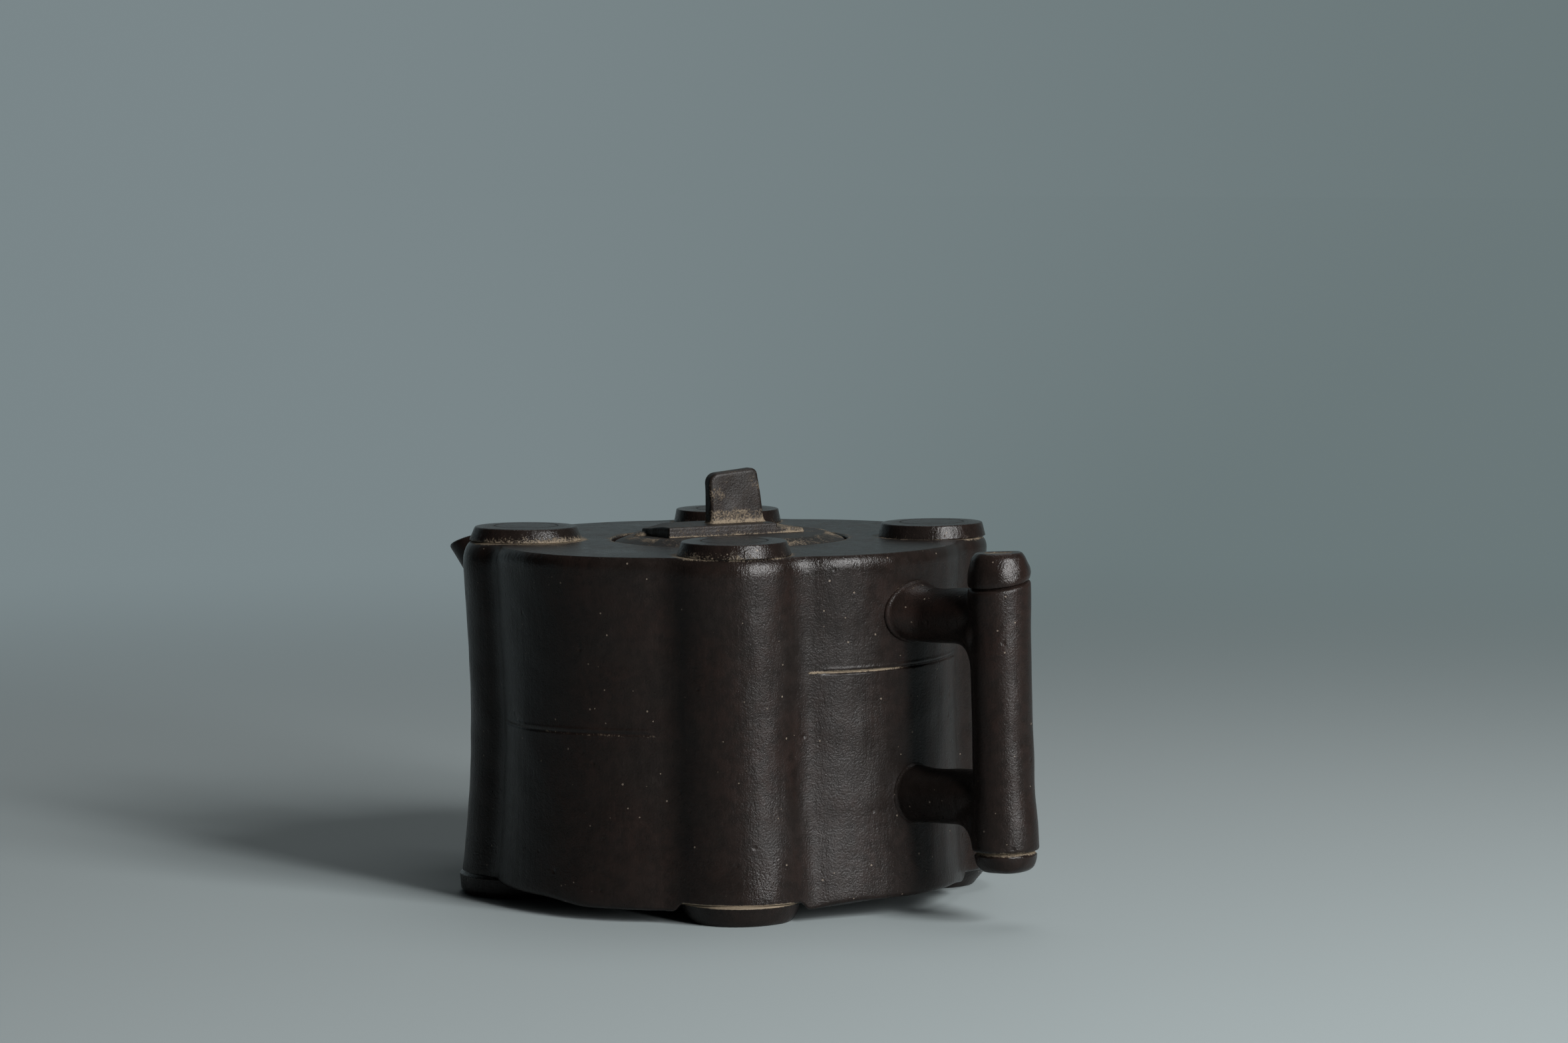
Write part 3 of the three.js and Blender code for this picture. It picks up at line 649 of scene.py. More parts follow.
def make_caps():
    for i, (name, axis) in enumerate(zip(COLUMN_NAMES, column_axes())):
        base, top, rounding, aside, lean = CAP_SHAPES[i]
        profile = [
            (0, -0.3, 0), (base - 0.5, -0.3, 0.1), (base - 0.35, 0.02, 0.06),
            (base, 0.12, 0.1), (top, CAP_HEIGHT - 0.1, rounding),
            (CAP_GROOVE + 0.2, CAP_HEIGHT, 0.08), (CAP_GROOVE, CAP_HEIGHT - 0.3, 0.06),
            (CAP_GROOVE - 0.2, CAP_HEIGHT, 0.08), (0, CAP_HEIGHT, 0)]
        place = shifted_axis(axis, BODY_TOP, aside)
        cap = disc(f"cap_{name}", f"corner_cap_{name}", profile, place, 20 + i, lean)
        at = positions(cap)
        off = np.linalg.norm(at[:, :2] - place[:2], axis=1)
        left_side = ramp(20, -20, aside + (at @ VIEW_RIGHT))
        # The pale coat on the cap's top is stronger towards the view's left.
        dust_and_sheen = ramp(0.7, 0.1, at[:, 2] - BODY_TOP) * (0.3 + 0.45 * left_side)
        dust_and_sheen += ramp(0.4, 0.1, np.abs(off - CAP_GROOVE)) * 0.2
        paint(cap, "dust_and_sheen", dust_and_sheen)
        paint(cap, "gloss", ramp(top - 0.9, top, off))


def make_feet():
    for i, (name, axis) in enumerate(zip(COLUMN_NAMES, column_axes())):
        sole, top, aside, nearer = FOOT_SHAPES[i]
        profile = [(0, 0, 0), (sole - 0.5, 0, 0.4), (sole + 0.2, 0.9, 0.6), (top, 3.75, 0.2),
                   (top, 4.1, 0.12), (top - 0.5, 4.25, 0.1), (top - 0.9, 4.6, 0.1), (0, 4.6, 0)]
        place = shifted_axis(axis, 0.0, aside) + VIEW_BACK * nearer
        foot = disc(f"foot_{name}_disc", f"foot_{name}", profile, place, 40 + i, (0, 0))
        at = positions(foot)
        strength = 0.95 if name == "handle_right" else 0.12
        paint(foot, "dust_and_sheen", ramp(3.7, 3.9, at[:, 2]) * strength + 0.04)
        paint(foot, "gloss", ramp(1.5, 3.0, at[:, 2]) * 0.4)


# Handle

def to_grip(points):
    """Points in the grip's own frame, its axis along +Z from the lower end."""
    x, y, z = np.moveaxis(points - GRIP_MIDDLE, -1, 0)
    c, s = math.cos(GRIP_LEAN), math.sin(GRIP_LEAN)
    return np.stack([x * c + z * s, y, z * c - x * s + GRIP_LENGTH / 2], -1)


def from_grip(points):
    """The way back from the grip's own frame."""
    x, y, z = (points - [0, 0, GRIP_LENGTH / 2]).T
    c, s = math.cos(GRIP_LEAN), math.sin(GRIP_LEAN)
    return np.column_stack([x * c - z * s, y, x * s + z * c]) + GRIP_MIDDLE


def lobe_distance(points, turn):
    """Distance outside the wall of the lobe towards +X or, with turn -1, towards -X."""
    inset = waist(points[..., 2])
    return np.hypot(points[..., 0] * turn - LOBE_OFFSET, points[..., 1]) - LOBE_RADIUS + inset


def cap_slant(own):
    """The joint under the upper knuckle was cut aslant: lowest towards the front and the left."""
    return CAP_SLANT * (own @ (VIEW_RIGHT - VIEW_BACK))


def strut_distance(points, height, root_width, root_height, root_rise):
    """Distance from a strut that swells towards its root, with a raised lip at the wall."""
    off_wall = np.maximum(lobe_distance(points, 1), 0)
    root = ramp(STRUT_ROOT_LENGTH, 0.0, off_wall) ** 1.3
    end = ramp(7.0, 13.5, off_wall)
    up = points[..., 2] - height - root_rise * root - STRUT_SLOPE * (off_wall - 8)
    half_height = np.where(up > 0, STRUT_RADIUS + 0.3 * end, STRUT_RADIUS + 0.3)
    half_height = half_height + (root_height - half_height) * root
    half_width = STRUT_RADIUS + (root_width - STRUT_RADIUS) * root
    around = np.hypot(points[..., 1] / half_width, up / half_height)
    strut = (around - 1) * np.sqrt(half_width * half_height)
    lip = np.hypot(strut + 0.05, off_wall - 0.3) - STRUT_LIP_RADIUS
    return smooth_min(strut, lip, 0.3)


def handle_distance(points):
    """Distance from the stalk between its knuckles, with both struts melted into it."""
    own = to_grip(points)
    share = own[..., 2] / GRIP_LENGTH
    radius = GRIP_WAIST_RADIUS + (GRIP_END_RADIUS - GRIP_WAIST_RADIUS) * (2 * share - 1) ** 2
    radius = radius - 0.12 * ramp(0.8, 0.95, share) + 0.35 * ramp(0.3, 0.12, share)
    grip = off_axis(own) - radius
    ends = np.maximum(GRIP_CAP_BOTTOM + 0.35 - own[..., 2],
                      own[..., 2] - cap_slant(own) - (GRIP_LENGTH - GRIP_CAP_TOP - 0.4))
    total = smooth_max(grip, ends, 0.7)
    wall = lobe_distance(points, 1) + 0.25
    for height, *root in STRUT_ROOTS:
        strut = strut_distance(points, height, *root)
        strut = np.maximum(strut, points[..., 0] - GRIP_OFFSET)
        strut = np.maximum(strut, -wall - 1.2)
        corner = 5.2 * ramp(-1.0, 4.5, height - points[..., 2])
        corner = 0.45 + corner * ramp(GRIP_OFFSET - 1, GRIP_OFFSET - 5, points[..., 0])
        total = smooth_min(total, strut, corner)
    return total


def make_handle():
    low, high = (46.5, -9.5, 14), (82.5, 9.5, 69)
    vertices, faces = surface_net(handle_distance, low, high, 0.36)
    own = to_grip(vertices)
    on_grip = ramp(9.5, 7.5, off_axis(own))
    way = own * [1, 1, 0] / np.maximum(off_axis(own), 1)[:, None]
    vertices = vertices + way * (on_grip * 0.13 * wobble(vertices, 14, 61))[:, None]
    body = add_piece("handle_body", vertices, faces, "pot",
                     ["grip", "strut_upper", "strut_lower"], "handle_clay", 60)
    at = positions(body)
    own = to_grip(at)
    off_wall = lobe_distance(at, 1)
    dust_and_sheen = ramp(0.5, 0.1, own[:, 2] - GRIP_CAP_BOTTOM - 0.3) * 0.6
    dust_and_sheen += ramp(5.0, 1.0, off_wall) * ramp(2.5, 5, at[:, 2] - UPPER_STRUT) * 0.3
    dust_and_sheen += ramp(0.5, 0.1, off_wall) * 0.2
    paint(body, "dust_and_sheen", dust_and_sheen)


def make_grip_caps():
    top = [(0, -0.5, 0), (5.5, -0.5, 0.1), (5.7, -0.1, 0.1), (6.2, 0.15, 0.15), (6.38, 0.9, 0.4),
           (6.15, 2.6, 0.7), (5.35, 5.0, 0.5), (4.75, 5.75, 0.2), (4.5, 5.9, 0.08),
           (2.9, 5.9, 0.1), (2.7, 5.72, 0.1), (0, 5.8, 0)]
    bottom = [(0, -3.95, 0), (4.1, -3.9, 0.6), (5.2, -3.3, 0.8), (5.9, -1.8, 0.8),
              (6.15, -0.5, 0.2), (5.6, 0.05, 0.15), (5.4, 0.5, 0.1), (0, 0.5, 0)]
    for name, node, profile, lift, seed in (
            ("grip_end_top", "grip_cap_top", top, GRIP_LENGTH - GRIP_CAP_TOP, 71),
            ("grip_end_bottom", "grip_cap_bottom", bottom, GRIP_CAP_BOTTOM, 73)):
        vertices, faces = lofted(turned(rounded(profile), 96))
        radius = np.maximum(off_axis(vertices), 1e-6)[:, None]
        swell = 0.17 * wobble(vertices, 8, seed) + 0.07 * wobble(vertices, 3.5, seed + 1)
        vertices[:, :2] += vertices[:, :2] / radius * np.minimum(radius / 3, 1) * swell[:, None]
        vertices[:, 2] += 0.06 * wobble(vertices, 6, seed + 2)
        if node == "grip_cap_top":
            vertices[:, 2] += cap_slant(vertices) * ramp(5.2, 0.5, vertices[:, 2])
        vertices[:, 2] += lift
        cap = add_piece(name, from_grip(vertices), faces, "pot", [node], "handle_clay")
        own = to_grip(positions(cap))
        flat = ramp(4.2, 2.0, off_axis(own)) * ramp(0.7, 0.4, GRIP_LENGTH - own[:, 2])
        chamfer = ramp(-0.55, -0.2, own[:, 2] - lift) if node == "grip_cap_bottom" else 0
        paint(cap, "dust_and_sheen", flat * 0.8 + chamfer * 0.85)
        paint(cap, "gloss", ramp(3.5, 4.6, off_axis(own)))


# Spout

def spout_axis(share):
    """The axis as x and z, from 0 at the root to 1 at the mouth."""
    a, b, c = (np.array(p) for p in (SPOUT_ROOT, SPOUT_BEND, SPOUT_MOUTH))
    return (1 - share) ** 2 * a + 2 * share * (1 - share) * b + share ** 2 * c


def spout_tube(points, radius_of):
    """Distance from a tube round the spout's axis, drawn on past both of its ends."""
    x, y, z = np.moveaxis(points, -1, 0)
    shares = np.linspace(-0.25, 1.25, 25)
    best = np.full(points.shape[:-1], 1e9)
    for first, second in zip(shares[:-1], shares[1:]):
        a, b = spout_axis(first), spout_axis(second)
        span = b - a
        t = np.clip(((x - a[0]) * span[0] + (z - a[1]) * span[1]) / (span @ span), 0, 1)
        off = np.sqrt((x - a[0] - t * span[0]) ** 2 + y ** 2 + (z - a[1] - t * span[1]) ** 2)
        best = np.minimum(best, off - radius_of(first + t * (second - first)))
    return best


def spout_radius(share):
    swell = np.clip(1 - share, 0, 1.2) ** SPOUT_TAPER
    return SPOUT_TIP_RADIUS + (SPOUT_ROOT_RADIUS - SPOUT_TIP_RADIUS) * swell


def spout_distance(points):
    """Distance from the bored spout, spread onto the wall and cut off aslant at its mouth."""
    outer = spout_tube(points, spout_radius)
    bore = spout_tube(points, lambda share: spout_radius(share) - SPOUT_TIP_WALL - (
        SPOUT_ROOT_WALL - SPOUT_TIP_WALL) * np.clip(1 - share, 0, 1) ** SPOUT_TAPER)
    wall = lobe_distance(points, -1)
    root = smooth_min(outer, wall + 0.25, 3.2)
    root = np.maximum(root, outer - 4.0)
    root = np.maximum(root, -wall - 1.2)
    tilt = np.array([-math.sin(SPOUT_TILT), 0, math.cos(SPOUT_TILT)])
    above = (points - [SPOUT_MOUTH[0], 0, SPOUT_MOUTH[1]]) @ tilt
    solid = smooth_max(root, above, 0.8)
    return smooth_max(solid, -bore, 0.7)


def make_spout():
    vertices, faces = surface_net(spout_distance, (-86, -15.5, 19), (-45.5, 15.5, 76), 0.42)
    vertices[:, 1] += 0.12 * wobble(vertices, 18, 81) * ramp(54, 60, -vertices[:, 0])
    spout = add_piece("spout_body", vertices, faces, "pot", ["spout"], "body_clay", 60)
    at = positions(spout)
    paint(spout, "dust_and_sheen", ramp(0.8, 0.1, lobe_distance(at, -1)) * 0.4)


# Lid

def from_lid(points, turn=LID_TURN):
    x, y, z = np.moveaxis(points, -1, 0)
    c, s = math.cos(turn), math.sin(turn)
    return np.stack([x * c - y * s, x * s + y * c, z], -1)


def to_lid(points):
    """Points in the lid's own frame, the plinth along +Y."""
    return from_lid(points, -LID_TURN)


def top_share(own):
    """1 on the lid's upper side, 0 below it."""
    return ramp(BODY_TOP - 0.5, BODY_TOP, own[:, 2])


def make_lid_plate():
    profile = [(0, LID_UNDERSIDE, 0), (LID_RADIUS - 0.1, LID_UNDERSIDE, 0.3),
               (LID_RADIUS, LID_EDGE_TOP, 0.15), (LID_RADIUS - 0.35, LID_EDGE_TOP + 0.3, 0.2),
               (LID_BEVEL_RADIUS, LID_TOP - 0.1, 0.4), (LID_BEVEL_RADIUS - 0.8, LID_TOP, 0.4),
               (0, LID_TOP, 0)]
    rings = turned(rounded(profile), 160)
    inner = [rings[-1] * [share, share, 0] + [0, 0, LID_TOP] for share in (0.8, 0.6, 0.4, 0.2)]
    vertices, faces = lofted(rings + inner)
    top = ramp(BODY_TOP - 2, BODY_TOP, vertices[:, 2])
    vertices[:, 2] += top * (0.06 * wobble(vertices, 15, 91) + 0.02 * wobble(vertices, 4, 92))
    far_left = ramp(15, 22, -vertices[:, 1] - 0.3 * vertices[:, 0])
    vertices[:, 2] -= top * 0.35 * far_left
    plate = add_piece("lid_disc", from_lid(vertices), faces, "lid", ["lid_plate"], "lid_clay")
    points, pin_faces = pin(VENT_RADIUS, LID_UNDERSIDE - 1, LID_TOP + 1)
    drill(plate, [(from_lid(points - [PLINTH_HALF_WIDTH + VENT_OFFSET, 0, 0]), pin_faces)])
    own = to_lid(positions(plate))
    radius = off_axis(own)
    bevel = ramp(LID_BEVEL_RADIUS - 1.7, LID_BEVEL_RADIUS - 0.3, radius) * (
        ramp(LID_RADIUS, LID_RADIUS - 0.7, radius) * top_share(own))
    foot = np.maximum(np.abs(own[:, 0]) - PLINTH_HALF_WIDTH,
                      np.maximum(PLINTH_START - own[:, 1], own[:, 1] - PLINTH_LOWER_END))
    dust_and_sheen = bevel * (0.5 + 0.2 * wobble(own, 9, 93)) + ramp(1.6, 0.1, foot) * top_share(own) * 0.45
    paint(plate, "dust_and_sheen", dust_and_sheen + 0.1 * top_share(own))


def rounded_box(points, low, high, rounding):
    """Distance from a box between two corners, its edges rounded."""
    low, high = np.array(low), np.array(high)
    return rounded_edge(np.abs(points - (low + high) / 2) - (high - low) / 2, rounding)


def plinth_distance(own):
    """Distance from both tiers of the plinth, with a lump of slumped clay at its start."""
    w = PLINTH_HALF_WIDTH
    lower = rounded_box(own, (-w, PLINTH_START, LID_TOP - 1.2),
                        (w, PLINTH_LOWER_END, PLINTH_MIDDLE), 0.32)
    upper = rounded_box(own, (-w + 0.05, PLINTH_START + 0.05, PLINTH_MIDDLE - 0.4),
                        (w - 0.05, PLINTH_UPPER_END, PLINTH_TOP), 0.3)
    tiers = smooth_min(lower, upper, 0.12)
    slump = np.linalg.norm((own - SLUMP_MIDDLE) / SLUMP_SIZE, axis=-1)
    return smooth_min(tiers, (slump - 1) * 1.5, 0.6)


def droop(own):
    """The plinth's far corner at its start hangs down over the lid's shoulder."""
    return 0.9 * ramp(-11, -17, own[..., 1]) * ramp(4.5, -6.5, own[..., 0])


def make_plinth():
    w = PLINTH_HALF_WIDTH + 1.6
    vertices, faces = surface_net(plinth_distance, (-w, PLINTH_START - 3.2, LID_TOP - 2),
                                  (w, PLINTH_LOWER_END + 1, PLINTH_TOP + 1), 0.2)
    stub = ramp(PLINTH_UPPER_END + 0.3, PLINTH_LOWER_END, vertices[:, 1])
    vertices[:, 2] -= droop(vertices) + 0.35 * stub * ramp(LID_TOP, PLINTH_MIDDLE, vertices[:, 2])
    vertices += 0.05 * wobble(vertices, 5, 95)[:, None] * [1, 1, 0.5]
    plinth = add_piece("lid_plinth", from_lid(vertices), faces, "lid",
                       ["plinth_lower", "plinth_upper"], "lid_clay", 50)
    own = to_lid(positions(plinth))
    foot = ramp(0.5, 0.0, own[:, 2] - LID_TOP)
    stub = ramp(PLINTH_UPPER_END, PLINTH_UPPER_END + 1.0, own[:, 1])
    before_start = PLINTH_START - own[:, 1]
    slump = ramp(0.0, 0.4, before_start)
    paint(plinth, "dust_and_sheen", foot * 0.38 + stub * 0.36 + slump * 0.12 + 0.3)
    # Painted shade: the plinth's end face is darkened in its colour to stand for the shade it
    # falls in.
    end_face = ramp(-0.3, -0.1, before_start) * ramp(0.2, 0.1, before_start)
    paint(plinth, "painted_shade", end_face * ramp(LID_TOP - 1.2, LID_TOP - 0.6, own[:, 2]))


def knob_distance(own):
    """Distance from a slab with leaning ends and a slanted top, spread onto the plinth."""
    y = own[..., 1] - KNOB_SHIFT
    z = own[..., 2] - PLINTH_TOP
    lean = np.clip(z / KNOB_HEIGHT, -0.2, 1.2)
    near, far = (end + draft * lean for end, draft in zip(KNOB_ENDS, KNOB_DRAFTS))
    roof = KNOB_HEIGHT + KNOB_SLOPE * ((y + 5.2) / 9.8 - 0.5)
    middle = (near + far) / 2
    half = (far - near) / 2
    face = rounded_edge(np.stack([np.abs(y - middle) - half, z - roof], -1),
                        np.where(y < middle, *KNOB_CORNERS))
    thick = np.abs(own[..., 0]) - KNOB_HALF_THICKNESS - 0.15 * (1 - lean)
    slab = rounded_edge(np.stack([face, thick], -1), KNOB_EDGE)
    ground = z + 0.25
    return np.maximum(np.maximum(smooth_min(slab, ground, 1.3), slab - 1.6), -z - 0.6)


def make_knob():
    vertices, faces = surface_net(knob_distance, (-4.5, -7, PLINTH_TOP - 1.2),
                                  (4.5, 9, PLINTH_TOP + 12.6), 0.22)
    vertices[:, 0] += 0.14 * wobble(vertices, 8, 97)
    knob = add_piece("lid_knob", from_lid(vertices), faces, "lid", ["knob"], "lid_clay", 60)
    own = to_lid(positions(knob))
    up = own[:, 2] - PLINTH_TOP
    dust_and_sheen = ramp(3.3, 2.2, up) * 0.4 + ramp(1.0, 0.2, up) * 0.25
    dust_and_sheen += 0.25 * ramp(0.1, 0.9, wobble(own, 6, 98)) * ramp(3, 5, up)
    paint(knob, "dust_and_sheen", dust_and_sheen + 0.2)


# Materials. Each link_ function adds a node to a tree and returns its output, link_cells two.
# The scales of noise and cells count waves in a metre.

def link_math(tree, operation, first, second, third=None):
    node = tree.nodes.new("ShaderNodeMath")
    node.operation = operation
    for socket, value in zip(node.inputs, (first, second, third)):
        if value is None:
            continue
        if isinstance(value, (int, float)):
            socket.default_value = value
        else:
            tree.links.new(value, socket)
    return node.outputs[0]


def link_mix(tree, factor, first, second):
    node = tree.nodes.new("ShaderNodeMix")
    node.data_type = "RGBA"
    for index, value in ((0, factor), (6, first), (7, second)):
        if isinstance(value, (int, float, tuple)):
            node.inputs[index].default_value = value
        else:
            tree.links.new(value, node.inputs[index])
    return node.outputs[2]


def link_noise(tree, vector, scale, detail=2.0, roughness=0.5):
    node = tree.nodes.new("ShaderNodeTexNoise")
    node.inputs["Scale"].default_value = scale
    node.inputs["Detail"].default_value = detail
    node.inputs["Roughness"].default_value = roughness
    tree.links.new(vector, node.inputs["Vector"])
    return node.outputs["Fac"]


def link_range(tree, value, low, high, to_low=0.0, to_high=1.0):
    node = tree.nodes.new("ShaderNodeMapRange")
    node.interpolation_type = "SMOOTHSTEP"
    for index, number in enumerate((low, high, to_low, to_high), 1):
        node.inputs[index].default_value = number
    tree.links.new(value, node.inputs[0])
    return node.outputs[0]


def link_cells(tree, vector, scale):
    """Distance to a random point of each cell, and a random number for the cell."""
    node = tree.nodes.new("ShaderNodeTexVoronoi")
    node.inputs["Scale"].default_value = scale
    tree.links.new(vector, node.inputs["Vector"])
    split = tree.nodes.new("ShaderNodeSeparateColor")
    tree.links.new(node.outputs["Color"], split.inputs[0])
    return node.outputs["Distance"], split.outputs[0]


def link_vector(tree, operation, vector, other=None):
    node = tree.nodes.new("ShaderNodeVectorMath")
    node.operation = operation
    tree.links.new(vector, node.inputs[0])
    if other is not None:
        node.inputs[1].default_value = tuple(other)
    return node.outputs["Vector" if operation == "NORMALIZE" else "Value"]


def attribute(tree, name):
    node = tree.nodes.new("ShaderNodeAttribute")
    node.attribute_name = name
    return node.outputs["Fac"]


def clay(name, colour, red, roughness):
    """Burnished stoneware: pear-skin grain, pits, grits, brush marks, dust in the corners mixed
    with a painted sheen on the tops, and painted shade on the plinth's end.
    """
    material = bpy.data.materials.new(name)
    material.use_nodes = True
    tree = material.node_tree
    shader = tree.nodes["Principled BSDF"]
    shader.inputs["Specular IOR Level"].default_value = 0.18
    place = tree.nodes.new("ShaderNodeTexCoord").outputs["Object"]
    upright = tree.nodes.new("ShaderNodeMapping")
    upright.inputs["Scale"].default_value = (1, 1, 0.12)
    tree.links.new(place, upright.inputs["Vector"])

    broad = link_noise(tree, place, 45, 3.0, 0.6)
    mottle = link_noise(tree, place, 420, 4.0, 0.65)
    grain = link_noise(tree, place, 2600, 3.0, 0.6)
    strokes = link_noise(tree, upright.outputs["Vector"], 900, 2.0, 0.5)
    peel = link_noise(tree, place, 1000, 2.0, 0.5)
    pit_distance, pit_number = link_cells(tree, place, 420)
    grit_distance, grit_number = link_cells(tree, place, 900)
    dust_and_sheen = attribute(tree, "dust_and_sheen")

    tone = link_mix(tree, link_range(tree, broad, 0.35, 0.68), colour, red)
    darker = (*(0.72 * c for c in colour[:3]), 1)
    tone = link_mix(tree, link_range(tree, mottle, 0.62, 0.38, 0.0, 0.7), tone, darker)
    paler = (*(1.35 * c + 0.003 for c in colour[:3]), 1)
    tone = link_mix(tree, link_range(tree, grain, 0.55, 0.8, 0.0, 0.6), tone, paler)
    grit_size = link_math(tree, "MULTIPLY", link_range(tree, grit_number, 0.9, 1.0), 0.2)
    grit = link_math(tree, "MULTIPLY", link_math(tree, "LESS_THAN", grit_distance, grit_size), 0.6)
    tone = link_mix(tree, grit, tone, GRIT_COLOUR)
    # The pale coat: real dust, and on the tops a painted sheen.
    spread = link_math(tree, "ADD", link_math(tree, "MULTIPLY", dust_and_sheen, 1.25),
                       link_math(tree, "MULTIPLY_ADD", grain, 1.5, -1.25))
    spread = link_math(tree, "ADD", spread, link_math(tree, "MULTIPLY_ADD", mottle, 1.3, -0.65))
    cover = link_range(tree, spread, 0.0, 0.6, 0.0, 0.9)
    tone = link_mix(tree, cover, tone, DUST_AND_SHEEN_COLOUR)
    # Painted shade on the plinth's end face.
    tone = link_mix(tree, attribute(tree, "painted_shade"), tone, PAINTED_SHADE_COLOUR)
    tree.links.new(tone, shader.inputs["Base Color"])

    polish = link_math(tree, "MULTIPLY_ADD", mottle, 0.24, roughness - 0.12)
    for source, share in ((attribute(tree, "gloss"), -0.12), (strokes, 0.10), (cover, 0.35)):
        polish = link_math(tree, "MULTIPLY_ADD", source, share, polish)
    tree.links.new(polish, shader.inputs["Roughness"])

    pit_size = link_math(tree, "MULTIPLY", link_range(tree, pit_number, 0.82, 1.0), 0.3)
    pit = link_math(tree, "MINIMUM", link_math(tree, "SUBTRACT", pit_distance, pit_size), 0.0)
    height = link_math(tree, "MULTIPLY", mottle, 0.28)
    for source, share in (
            (grain, 0.36), (peel, 0.16), (strokes, 0.22), (pit, 2.2), (cover, 0.25)):
        height = link_math(tree, "MULTIPLY_ADD", source, share, height)
    bump = tree.nodes.new("ShaderNodeBump")
    bump.inputs["Strength"].default_value = 0.8
    bump.inputs["Distance"].default_value = BUMP_DEPTH
    tree.links.new(height, bump.inputs["Height"])
    tree.links.new(bump.outputs["Normal"], shader.inputs["Normal"])
    return material


def dress_frame():
    """Gives the nodes of the frame the clay of their slots."""
    for part in frame["record"]["subparts"]:
        mesh = bpy.data.objects[part["node"]].data
        mesh.materials.clear()
        mesh.materials.append(clays[part["material_slot"]])


# Stage

def seen_directly(tree):
    """1 for what the camera, a reflection or glass sees, 0 for what only lights the object."""
    path = tree.nodes.new("ShaderNodeLightPath").outputs
    seen = link_math(tree, "ADD", path["Is Camera Ray"], path["Is Glossy Ray"])
    seen = link_math(tree, "ADD", seen, path["Is Transmission Ray"])
    return link_math(tree, "MINIMUM", seen, 1.0)


def backdrop_colour(tree, direction):
    """The backdrop's colour in a direction, with painted shade that makes it a little darker to
    the view's right.
    """
    aside = link_vector(tree, "DOT_PRODUCT", direction, VIEW_RIGHT)
    return link_mix(tree, link_range(tree, aside, -0.1, 0.22), BACKDROP_COLOUR, BACKDROP_DARKER)


def make_floor():
    """A pale floor that fades into the backdrop's colour with its distance."""
    mesh = bpy.data.meshes.new("floor")
    corners = [(x * FLOOR_REACH, y * FLOOR_REACH, 0) for x, y in
               ((-1, -1), (1, -1), (1, 1), (-1, 1))]
    mesh.from_pydata(corners, [], [(0, 1, 2, 3)])
    floor = add_object("floor", mesh)
    material = bpy.data.materials.new("floor")
    material.use_nodes = True
    tree = material.node_tree
    shader = tree.nodes["Principled BSDF"]
    shader.inputs["Base Color"].default_value = FLOOR_COLOUR
    shader.inputs["Roughness"].default_value = 0.7
    place = tree.nodes.new("ShaderNodeTexCoord").outputs["Object"]
    away = link_range(tree, link_vector(tree, "LENGTH", place), 0.15, 0.8)
    glow = tree.nodes.new("ShaderNodeEmission")
    direction = link_vector(tree, "NORMALIZE", place)
    tree.links.new(backdrop_colour(tree, direction), glow.inputs["Color"])
    blend = tree.nodes.new("ShaderNodeMixShader")
    tree.links.new(link_math(tree, "MULTIPLY", away, seen_directly(tree)), blend.inputs[0])
    tree.links.new(shader.outputs[0], blend.inputs[1])
    tree.links.new(glow.outputs[0], blend.inputs[2])
    tree.links.new(blend.outputs[0], tree.nodes["Material Output"].inputs["Surface"])
    mesh.materials.append(material)


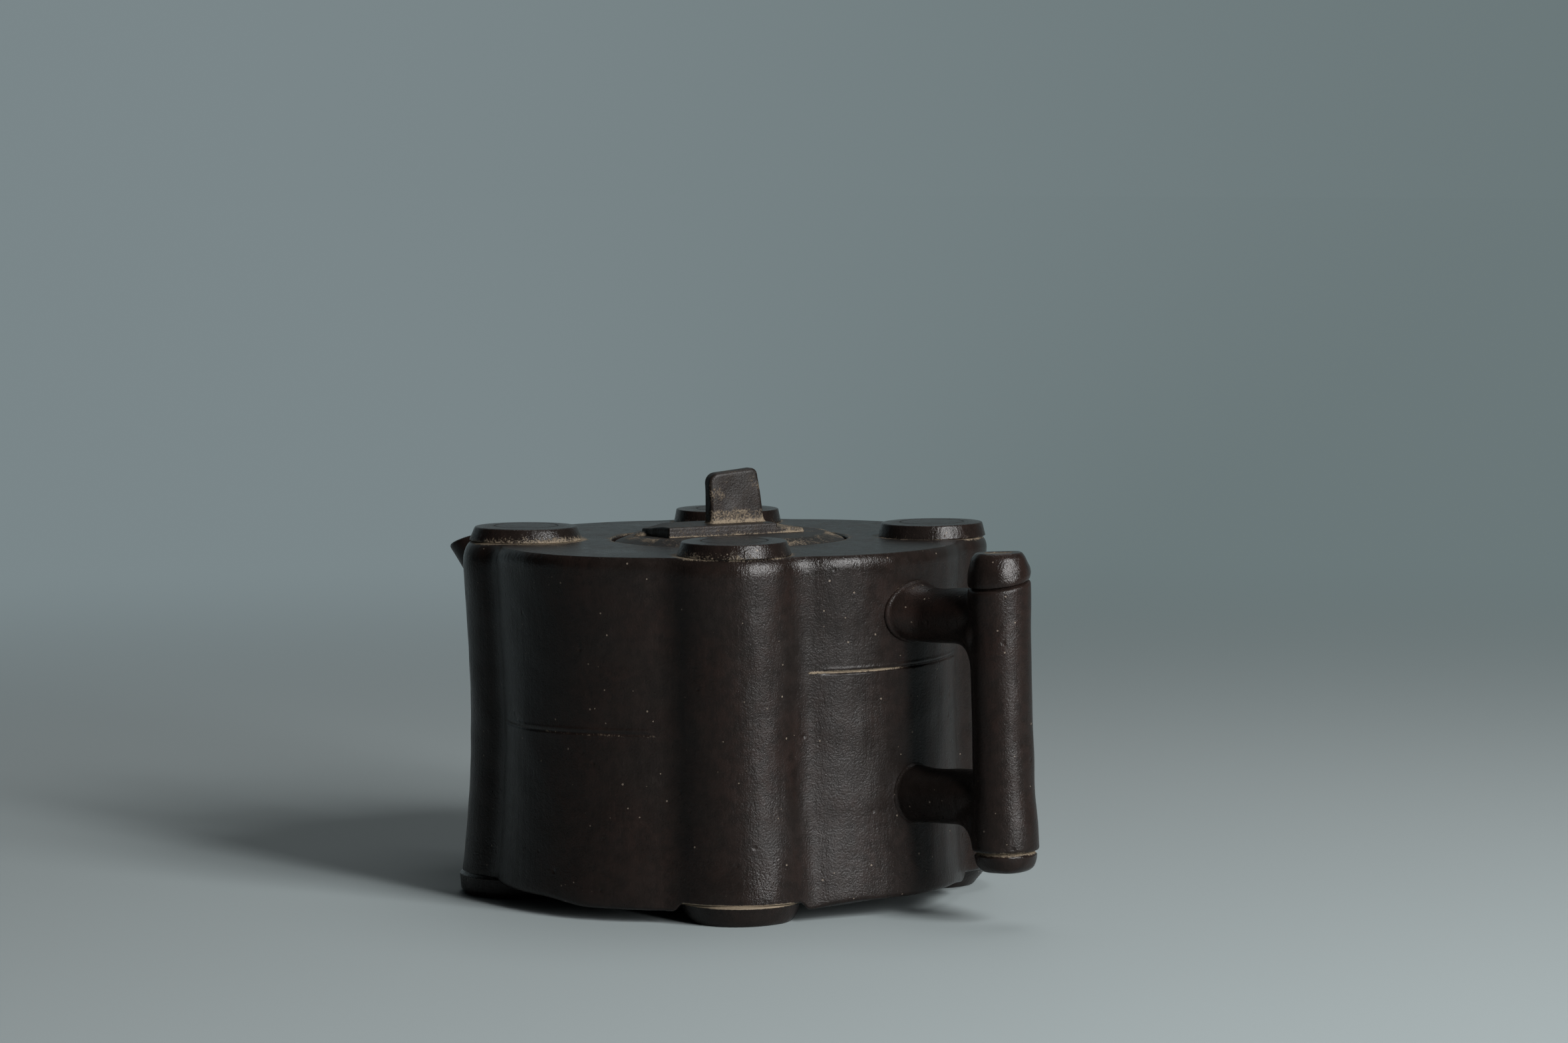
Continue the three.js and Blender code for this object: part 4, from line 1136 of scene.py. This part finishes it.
def make_world():
    """A dim room with a pale backdrop, which reflections find behind the pot."""
    world = bpy.data.worlds.new("studio")
    bpy.context.scene.world = world
    world.use_nodes = True
    tree = world.node_tree
    ambient = tree.nodes["Background"]
    ambient.inputs["Color"].default_value = AMBIENT_COLOUR
    ambient.inputs["Strength"].default_value = AMBIENT_STRENGTH
    backdrop = tree.nodes.new("ShaderNodeBackground")
    direction = tree.nodes.new("ShaderNodeTexCoord").outputs["Generated"]
    tree.links.new(backdrop_colour(tree, direction), backdrop.inputs["Color"])
    behind = link_range(tree, link_vector(tree, "DOT_PRODUCT", direction, -VIEW_BACK), 0.35, 0.95)
    path = tree.nodes.new("ShaderNodeLightPath").outputs
    mirrored = link_math(tree, "MULTIPLY", path["Is Glossy Ray"], behind)
    seen = link_math(tree, "ADD", path["Is Camera Ray"], path["Is Transmission Ray"])
    seen = link_math(tree, "MINIMUM", link_math(tree, "ADD", seen, mirrored), 1.0)
    blend = tree.nodes.new("ShaderNodeMixShader")
    tree.links.new(seen, blend.inputs[0])
    tree.links.new(ambient.outputs[0], blend.inputs[1])
    tree.links.new(backdrop.outputs[0], blend.inputs[2])
    tree.links.new(blend.outputs[0], tree.nodes["World Output"].inputs["Surface"])


def area_light(name, azimuth, elevation, distance, size, power):
    """A softbox, its azimuth counted to the right from the camera's direction."""
    turn = math.radians(azimuth)
    rise = math.radians(elevation)
    way = (VIEW_BACK * math.cos(turn) + VIEW_RIGHT * math.sin(turn)) * math.cos(rise)
    way = Vector(way) + Vector((0, 0, math.sin(rise)))
    data = bpy.data.lights.new(name, "AREA")
    data.shape = "RECTANGLE"
    data.size, data.size_y = size
    data.energy = power
    light = add_object(name, data)
    light.location = way * distance + Vector((0, 0, LIGHT_AIM))
    light.rotation_euler = way.to_track_quat("Z", "Y").to_euler()


def make_camera():
    data = bpy.data.cameras.new("photo_camera")
    data.sensor_fit = "HORIZONTAL"
    data.sensor_width = SENSOR_MM
    data.lens = SENSOR_MM * FOCAL_PX / PHOTO_WIDTH_PX
    camera = add_object("photo_camera", data)
    place = VIEW_BACK * CAMERA_DISTANCE + VIEW_RIGHT * CAMERA_ASIDE
    turn = Matrix.Rotation(CAMERA_AZIMUTH - CAMERA_YAW, 4, "Z")
    tilt = Matrix.Rotation(math.pi / 2 - CAMERA_PITCH, 4, "X")
    roll = Matrix.Rotation(CAMERA_ROLL, 4, "Z")
    camera.matrix_world = (Matrix.Translation((place[0], place[1], CAMERA_HEIGHT))
                           @ turn @ tilt @ roll)
    bpy.context.scene.camera = camera


make_camera()
make_world()
make_floor()
for name, softbox in LIGHTS.items():
    area_light(name, *softbox)
clays = {name: clay(name, *look) for name, look in CLAYS.items()}
dress_frame()
make_body()
make_caps()
make_feet()
make_handle()
make_grip_caps()
make_spout()
make_lid_plate()
make_plinth()
make_knob()
bpy.context.scene.view_settings.view_transform = "Standard"
